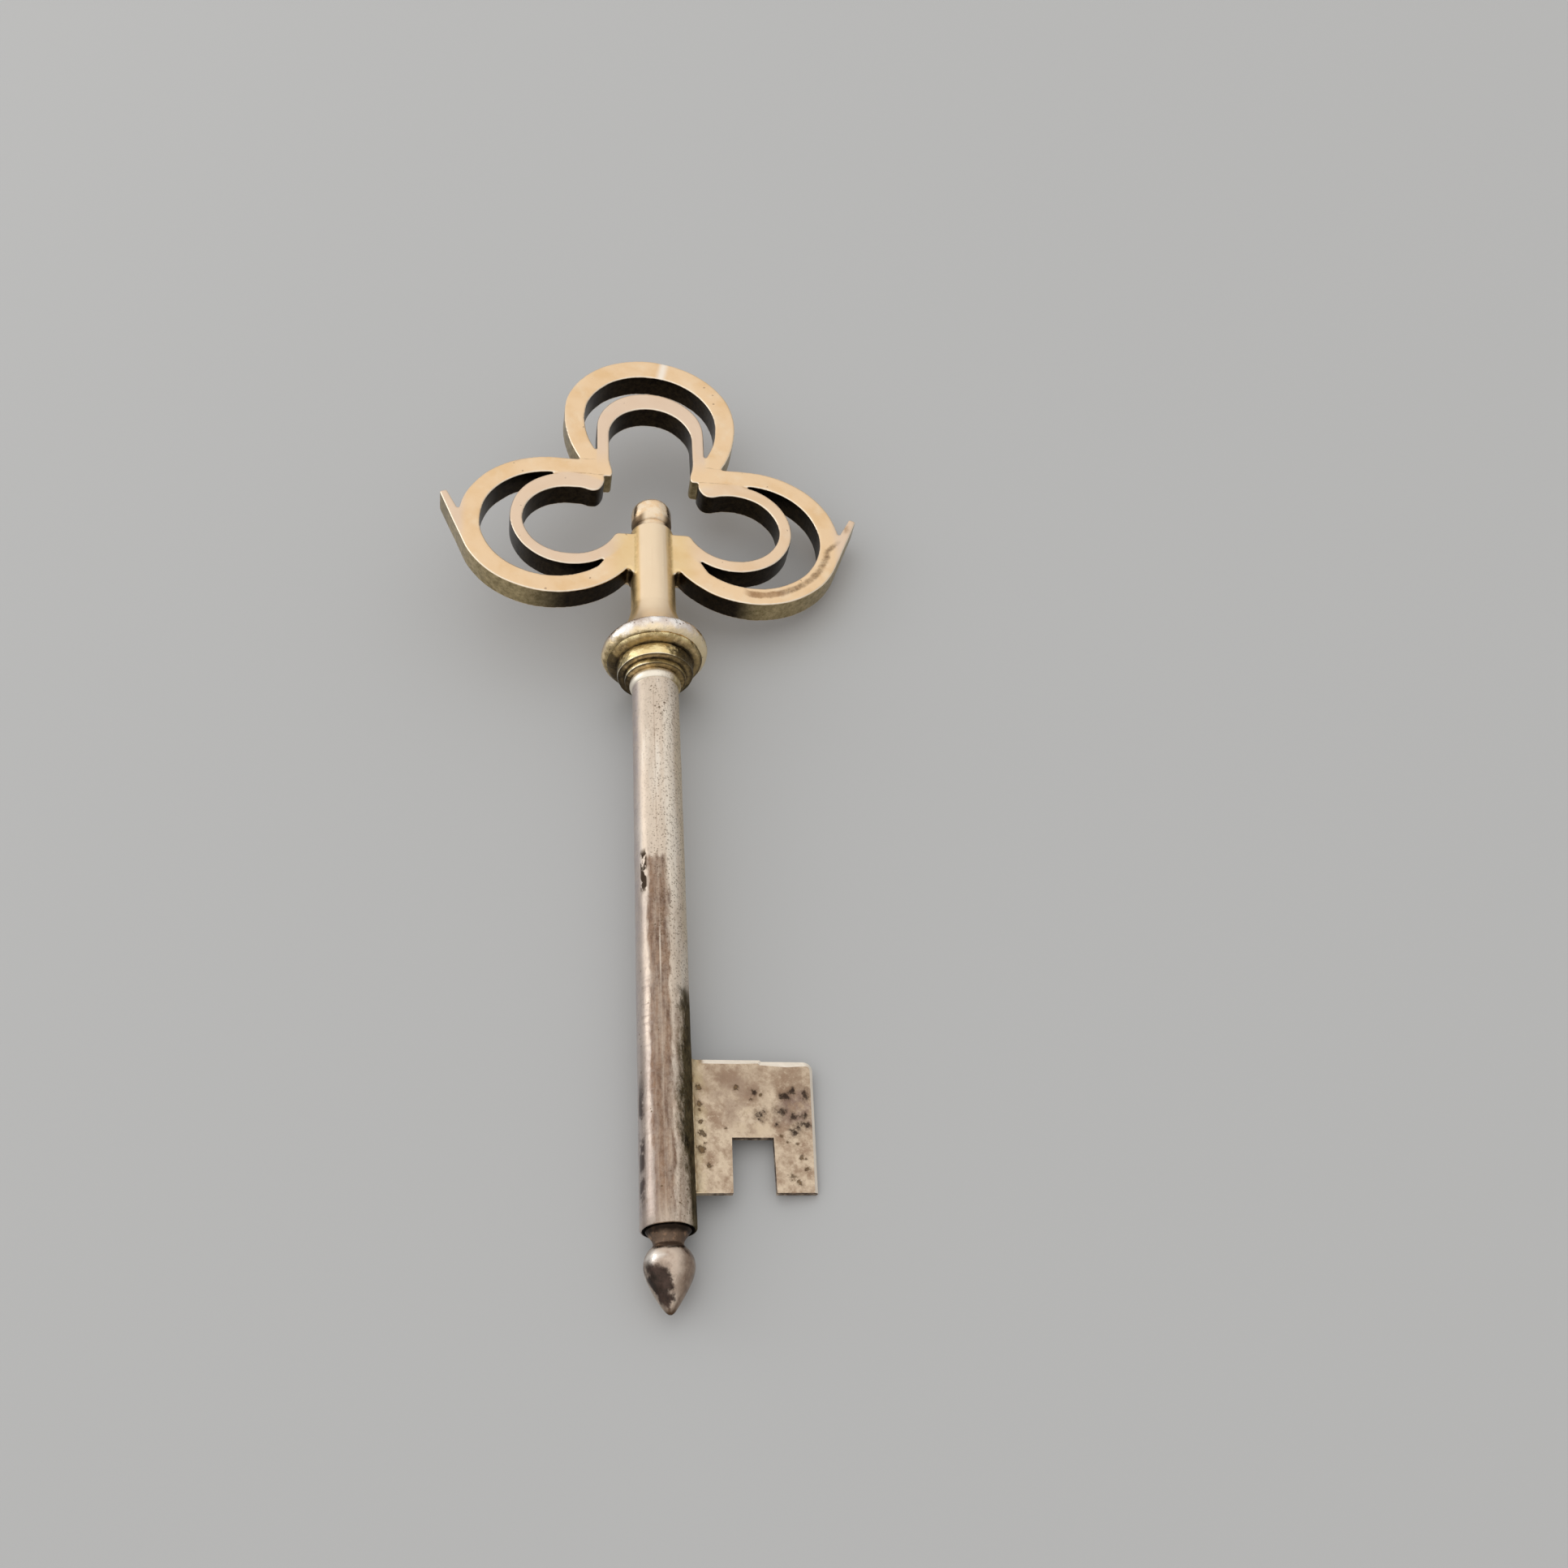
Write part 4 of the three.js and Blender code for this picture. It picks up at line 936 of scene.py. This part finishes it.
def side_lobe(side):
    """The strips of one side lobe, drawn for the side of the bit."""
    inside = LOBE_RADIUS - OUTER_WIDTH / 2
    outside = LOBE_RADIUS + OUTER_WIDTH / 2
    top = LOBE_CENTRE[1] + inside
    shapes = [
        bent_strip(LOBE_CENTRE, inside, outside, 90, LOBE_SWEEP, STRIP_HEIGHT),
        slab([(LOBE_CENTRE[0] + 0.05, top), (LOBE_CENTRE[0] + 0.05, top + OUTER_WIDTH),
              (4.6, top + OUTER_WIDTH), (4.6, top)], STRIP_HEIGHT),
    ]
    # The spur runs on from the horn along its tangent
    leaving = Vector(polar((0, 0), 1, SPUR_BEARING))
    running = Vector((-leaving.y, leaving.x))
    root = Vector(polar(LOBE_CENTRE, outside, SPUR_BEARING))
    tip = root + running * SPUR_LENGTH
    inner_tip = tip - leaving * 0.66
    crotch = Vector(polar(LOBE_CENTRE, outside - 0.1, 3.5))
    shapes.append(slab([root, tip, inner_tip, crotch, polar(LOBE_CENTRE, LOBE_RADIUS, -10)], STRIP_HEIGHT))
    # The inner lobe was set a little low, so its outside and its opening have centres of their own
    drop = INNER_DROP[side]
    half_width = INNER_RADIUS + INNER_WIDTH / 2
    opening = INNER_RADIUS - INNER_WIDTH / 2
    ring_top = top - 0.02
    station = ring_top - half_width - drop / 2
    inner = bent_strip((INNER_CENTRE_X, station), opening, half_width, 90, LOBE_SWEEP, STRIP_HEIGHT)
    about = Matrix.Translation((-INNER_CENTRE_X, -station, 0))
    hole = [v for v in inner.verts if math.hypot(v.co.x - INNER_CENTRE_X, v.co.y - station) < INNER_RADIUS]
    rim = [v for v in inner.verts if v not in hole]
    half_length = half_width + drop / 2
    bmesh.ops.scale(inner, verts=rim, vec=(1, half_length / half_width, 1), space=about)
    bmesh.ops.scale(inner, verts=hole, vec=(1, (opening - 0.12) / opening, 1), space=about)
    bmesh.ops.translate(inner, verts=hole, vec=(0, -drop / 2, 0))
    shapes.append(inner)
    # Tail, web and nose
    width = INNER_WIDTH + drop / 2
    thick = INNER_WIDTH + drop + 0.12
    tail = [(-0.1, 0.1), (-0.1, thick / width), (0.12, thick / width), (0.35, 1.24), (0.62, 1.5),
            (0.84, 1.34), (0.97, 0.76), (1.0, 0.3), (0.97, 0.0)]
    tail = [tail[0], *eased(tail[1:-1]), tail[-1]]
    places = [(INNER_CENTRE_X - along * 3.15, ring_top - deep * width) for along, deep in tail]
    shapes.append(slab(places, STRIP_HEIGHT))
    shapes.append(slab([(INNER_CENTRE_X - 0.2, ring_top - 0.3), (INNER_CENTRE_X - 0.2, top + 0.3),
                        (4.7, top + 0.3), (4.7, ring_top - 0.3)], STRIP_HEIGHT))
    heel, cusp = ((INNER_CENTRE_X + half_width * math.cos(angle), station + half_length * math.sin(angle))
                  for angle in (math.radians(208), math.radians(230)))
    web_foot = polar(LOBE_CENTRE, inside, 230)
    shapes.append(slab([web_foot, cusp, (cusp[0] + 0.15, cusp[1] + 0.4), (3.2, 63.4), heel, (1.2, heel[1]),
                        (1.2, 61.6), polar(LOBE_CENTRE, LOBE_RADIUS, 212)], STRIP_HEIGHT))
    nose_top = heel[1] + 1.15
    nose_x = INNER_CENTRE_X - opening * 0.915
    nose = [(nose_x + 0.25, nose_top - 1.0), (nose_x, nose_top - 0.45), (nose_x - 0.13, nose_top - 0.13),
            (nose_x - 0.45, nose_top)]
    shapes.append(slab([(1.2, heel[1] - 0.3), (heel[0] + 0.3, heel[1] - 0.5), *eased(nose, 1),
                        (1.2, nose_top)], STRIP_HEIGHT))
    # Solder fills the corner between the horn and the stem
    shapes.append(slab([(1.3, 59.9), (1.98, 60.0), (2.15, 60.3), (2.7, 60.55), (2.7, 61.2), (1.3, 61.6)],
                       STRIP_HEIGHT))
    return [mirrored_to(shape, side) for shape in shapes]


def limb_centre(x, y, end_x, end_y):
    """Centre and sweep of the arc that leaves (x, y) upright and ends at (end_x, end_y)."""
    across, along = x - end_x, y - end_y
    radius = (across * across + along * along) / (2 * across)
    return (x - radius, y), math.degrees(math.asin(along / radius))


def top_hoop():
    """The outer strip of the top lobe, whose limbs lean out as they come down."""
    inside = HOOP_RADIUS - OUTER_WIDTH / 2
    outside = HOOP_RADIUS + OUTER_WIDTH / 2
    crest = HOOP_STATION + HOOP_CREST
    foot = LOBE_CENTRE[1] + LOBE_RADIUS + OUTER_WIDTH / 2
    outer_centre, outer_sweep = limb_centre(outside, crest, 6.68, foot)
    inner_centre, inner_sweep = limb_centre(inside, HOOP_STATION, 5.1, foot + 1.09)
    bm = bmesh.new()
    first = last = bm.verts.new((-6.68, foot - 0.3, 0))
    last = line_to(bm, last, -6.68, foot)
    last = arc_to(bm, last, (-outer_centre[0], outer_centre[1]), -outer_sweep)
    last = arc_to(bm, last, (0, crest), -180)
    last = arc_to(bm, last, outer_centre, -outer_sweep)
    for x, y in ((6.68, foot - 0.3), (4.6, foot - 0.3), (5.1, foot + 1.09)):
        last = line_to(bm, last, x, y)
    last = arc_to(bm, last, inner_centre, inner_sweep)
    last = arc_to(bm, last, (0, HOOP_STATION), 180)
    last = arc_to(bm, last, (-inner_centre[0], inner_centre[1]), inner_sweep)
    last = line_to(bm, last, -4.6, foot - 0.3)
    return raised(bm, first, last, STRIP_HEIGHT)


def top_arch():
    """The inner strip of the top lobe: an arch on straight legs that end in small toes."""
    inside = ARCH_RADIUS - INNER_WIDTH / 2
    outside = ARCH_RADIUS + INNER_WIDTH / 2
    foot = LOBE_CENTRE[1] + LOBE_RADIUS - OUTER_WIDTH / 2
    toe = eased([(0.6, 0.0), (0.05, 0.1), (0.0, 0.36), (0.75, 0.7), (1.0, 1.0)])
    leg = [(outside, foot), *((inside - 0.3 + share * 0.3, foot + up * 2.4) for share, up in toe)]
    bm = bmesh.new()
    first = last = bm.verts.new((leg[0][0], leg[0][1], 0))
    for x, y in leg[1:]:
        last = line_to(bm, last, x, y)
    last = line_to(bm, last, inside, ARCH_STATION)
    last = arc_to(bm, last, (0, ARCH_STATION), 180)
    for x, y in reversed(leg):
        last = line_to(bm, last, -x, y)
    last = line_to(bm, last, -outside, ARCH_STATION + ARCH_CREST)
    last = arc_to(bm, last, (0, ARCH_STATION + ARCH_CREST), -180)
    return raised(bm, first, last, STRIP_HEIGHT)


def solder_drop(x, y, z, radius):
    bm = bmesh.new()
    bmesh.ops.create_icosphere(bm, subdivisions=3, radius=radius, matrix=Matrix.Translation((x, y, z)))
    return bm


def bow(finish):
    """The whole bow, soldered to its stem: the strips' joints are run with solder and filed flush."""
    shapes = [*side_lobe(-1), *side_lobe(1), top_hoop(), top_arch()]
    shapes.append(turned([(STEM[0], 0), (STEM[0], STEM_RADIUS), (STEM[1] - 0.1, STEM_RADIUS),
                          (STEM[1], STEM_RADIUS - 0.1), (STEM[1], 0)], 64))
    for side in (-1, 1):
        for x, y, z, radius in SOLDER_DROPS:
            shapes.append(solder_drop(side * x, y, z, radius))
    mesh = soldered(shapes, "bow", 0.11, 3, 0.55)

    def worn(place):
        x, y = abs(place.x), place.y
        on_ring = 1 - step_between(0.99, 1.05, math.hypot((x - INNER_CENTRE_X) / 5.5, (y - 66.1) / 5.75))
        on_arch = (1 - step_between(5.1, 5.3, x)) * step_between(72.6, 76.0, y)
        on_arch *= 1 - step_between(5.2, 5.6, math.hypot(x, max(0.0, y - 78.2)))
        on_spur = 0.7 * step_between(16.8, 17.6, x)
        on_ring *= step_between(2.2, 4.0, x) * (0.65 if place.x < 0 else 0.35)
        return max(on_ring, 0.75 * on_arch, on_spur)

    def stain(place):
        x, y = place.x, place.y
        right = 0.8 * (1 - step_between(0.2, 0.9, math.hypot((x - 18.3) / 0.7, (y - 67.4) / 1.4)))
        left = 0.55 * (1 - step_between(0.2, 1.0, math.hypot((x + 13.6) / 2.4, (y - 73.2) / 0.8)))
        return max(right, left)

    # Marks the outer walls, which are painted lighter than the painted shade of the inner walls
    def open_wall(place):
        x, y = abs(place.x), place.y
        outside = math.hypot(x - LOBE_CENTRE[0], y - LOBE_CENTRE[1]) > LOBE_RADIUS + 0.5 and y < 74
        over = math.hypot(x, y - 80.2) > HOOP_RADIUS + 0.5 and y > 73.5
        start = (7.2, 10.0) if place.x > 0 else (7.5, 12.5)
        return (outside or over) * (step_between(*start, x) if y < 66 else 0.8)

    def round_stem(place):
        near = 1 - step_between(0.07, 0.16, abs(math.hypot(place.x, place.z) - STEM_RADIUS))
        corner = step_between(1.7, 1.95, abs(place.x)) * step_between(59.4, 59.9, place.y)
        return near * (1 - step_between(65.5, 65.7, place.y)) * (1 - corner)

    def solder(place):
        spot = Vector((abs(place.x), place.y, abs(place.z)))
        return 1 - step_between(0.2, 0.42, (spot - SOLDER_SPOT).length)

    for amount in (worn, stain, open_wall, round_stem, solder):
        marked(mesh, amount.__name__, amount)
    for v in mesh.vertices:
        v.co.z += noise.noise(v.co * 0.35) * 0.03 + noise.noise(v.co * 1.2) * 0.012
        v.co.x += noise.noise(v.co * 0.5 + Vector((9, 0, 0))) * 0.04
    laid_down(mesh, "bow", finish, "silver_gilt", "bow_stem", "bow_top_hoop", "bow_top_arch", "bow_left_lobe",
              "bow_left_horn", "bow_left_inner", "bow_right_lobe", "bow_right_horn", "bow_right_inner")


def cap(finish):
    foot = STEM[1] + 0.02
    head = foot + CAP_NECK
    top = foot + CAP_LENGTH
    rounding = 1.05
    dome = [(top - rounding + rounding * math.sin(a), CAP_RADIUS - rounding + rounding * math.cos(a))
            for a in (math.pi / 2 * i / 10 for i in range(11))]
    outline = [(foot - 0.1, 0), (foot - 0.1, CAP_NECK_RADIUS + 0.1), (foot, CAP_NECK_RADIUS),
               (head, CAP_NECK_RADIUS), (head + 0.1, CAP_RADIUS - 0.12), (head + 0.35, CAP_RADIUS), *dome,
               (top + 0.03, 0)]
    turned_piece("cap", outline, finish, "silver_gilt", "stem_cap", wobble=0.05)


# The whole key


silver = shank_silver()
ring_gilt = collar_gilt()
plate_silver = bit_silver()
shank(silver)
finial(finial_silver())
bit(plate_silver)
bit_solder(plate_silver)
collar(silver, ring_gilt, bead_silver())
gilt = bow_gilt()
flare(gilt)
bow(gilt)
cap(cap_gilt())
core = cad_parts["collar_core"]
core.data.materials.clear()
core.data.materials.append(silver)


# Table, light and camera


def table():
    bm = bmesh.new()
    bmesh.ops.create_grid(bm, x_segments=1, y_segments=1, size=3.0)
    mesh = mesh_of(bm, "table")
    surface = bpy.data.materials.new("table_top")
    surface.use_nodes = True
    shader = surface.node_tree.nodes["Principled BSDF"]
    shader.inputs["Base Color"].default_value = (0.47, 0.475, 0.48, 1)
    shader.inputs["Roughness"].default_value = 0.45
    mesh.materials.append(surface)
    top = bpy.data.objects.new("table", mesh)
    bpy.context.scene.collection.objects.link(top)


def panel(name, place, aim, size, brightness, colour=(1, 1, 1)):
    """A soft rectangular lamp whose face has an even brightness."""
    lamp = bpy.data.lights.new(name, "AREA")
    lamp.shape = "RECTANGLE"
    lamp.size, lamp.size_y = size
    lamp.energy = brightness * math.pi * size[0] * size[1]
    lamp.color = colour
    holder = bpy.data.objects.new(name, lamp)
    holder.location = place
    holder.rotation_euler = (Vector(aim) - Vector(place)).to_track_quat("-Z", "Y").to_euler()
    bpy.context.scene.collection.objects.link(holder)


def light():
    """A bright ceiling that dims towards the side of the bit and the front, and a window at the left."""
    world = bpy.data.worlds.new("room")
    world.use_nodes = True
    tree = world.node_tree
    background = tree.nodes["Background"]
    background.inputs["Color"].default_value = (1.0, 0.985, 0.96, 1)
    direction = tree.nodes.new("ShaderNodeTexCoord")
    upward = tree.nodes.new("ShaderNodeVectorMath")
    upward.operation = "DOT_PRODUCT"
    upward.inputs[1].default_value = Vector((-0.4, 0.08, 0.9)).normalized()
    fade = tree.nodes.new("ShaderNodeMapRange")
    fade.interpolation_type = "SMOOTHSTEP"
    for key, value in (("From Min", -0.15), ("From Max", 0.7), ("To Min", 0.6), ("To Max", 1.0)):
        fade.inputs[key].default_value = value
    tree.links.new(direction.outputs["Generated"], upward.inputs[0])
    tree.links.new(upward.outputs["Value"], fade.inputs["Value"])
    tree.links.new(fade.outputs["Result"], background.inputs["Strength"])
    bpy.context.scene.world = world
    panel("window", (-0.30, 0.10, 0.13), (0, 0.0, 0.01), (0.18, 0.13), 1.25)


def camera():
    """The camera fitted to the photograph: its place is in the key's millimetres."""
    eye = Vector((-12.364, -35.512, 104.188))
    look = (Matrix.Rotation(math.radians(-17.37), 4, "Z") @ Matrix.Rotation(math.radians(36.5), 4, "X")
            @ Matrix.Rotation(math.radians(16.64), 4, "Z"))
    lens = bpy.data.cameras.new("camera")
    lens.sensor_width = 36.0
    lens.lens = lens.sensor_width * 1900.2 / 1932
    lens.clip_start = 0.005
    holder = bpy.data.objects.new("camera", lens)
    pose = KEY_TURN.to_3x3().to_4x4() @ look
    pose.translation = LYING @ eye
    holder.matrix_world = pose
    bpy.context.scene.collection.objects.link(holder)
    bpy.context.scene.camera = holder


table()
light()
camera()
bpy.context.scene.view_settings.view_transform = "Standard"

bpy.context.view_layer.update()
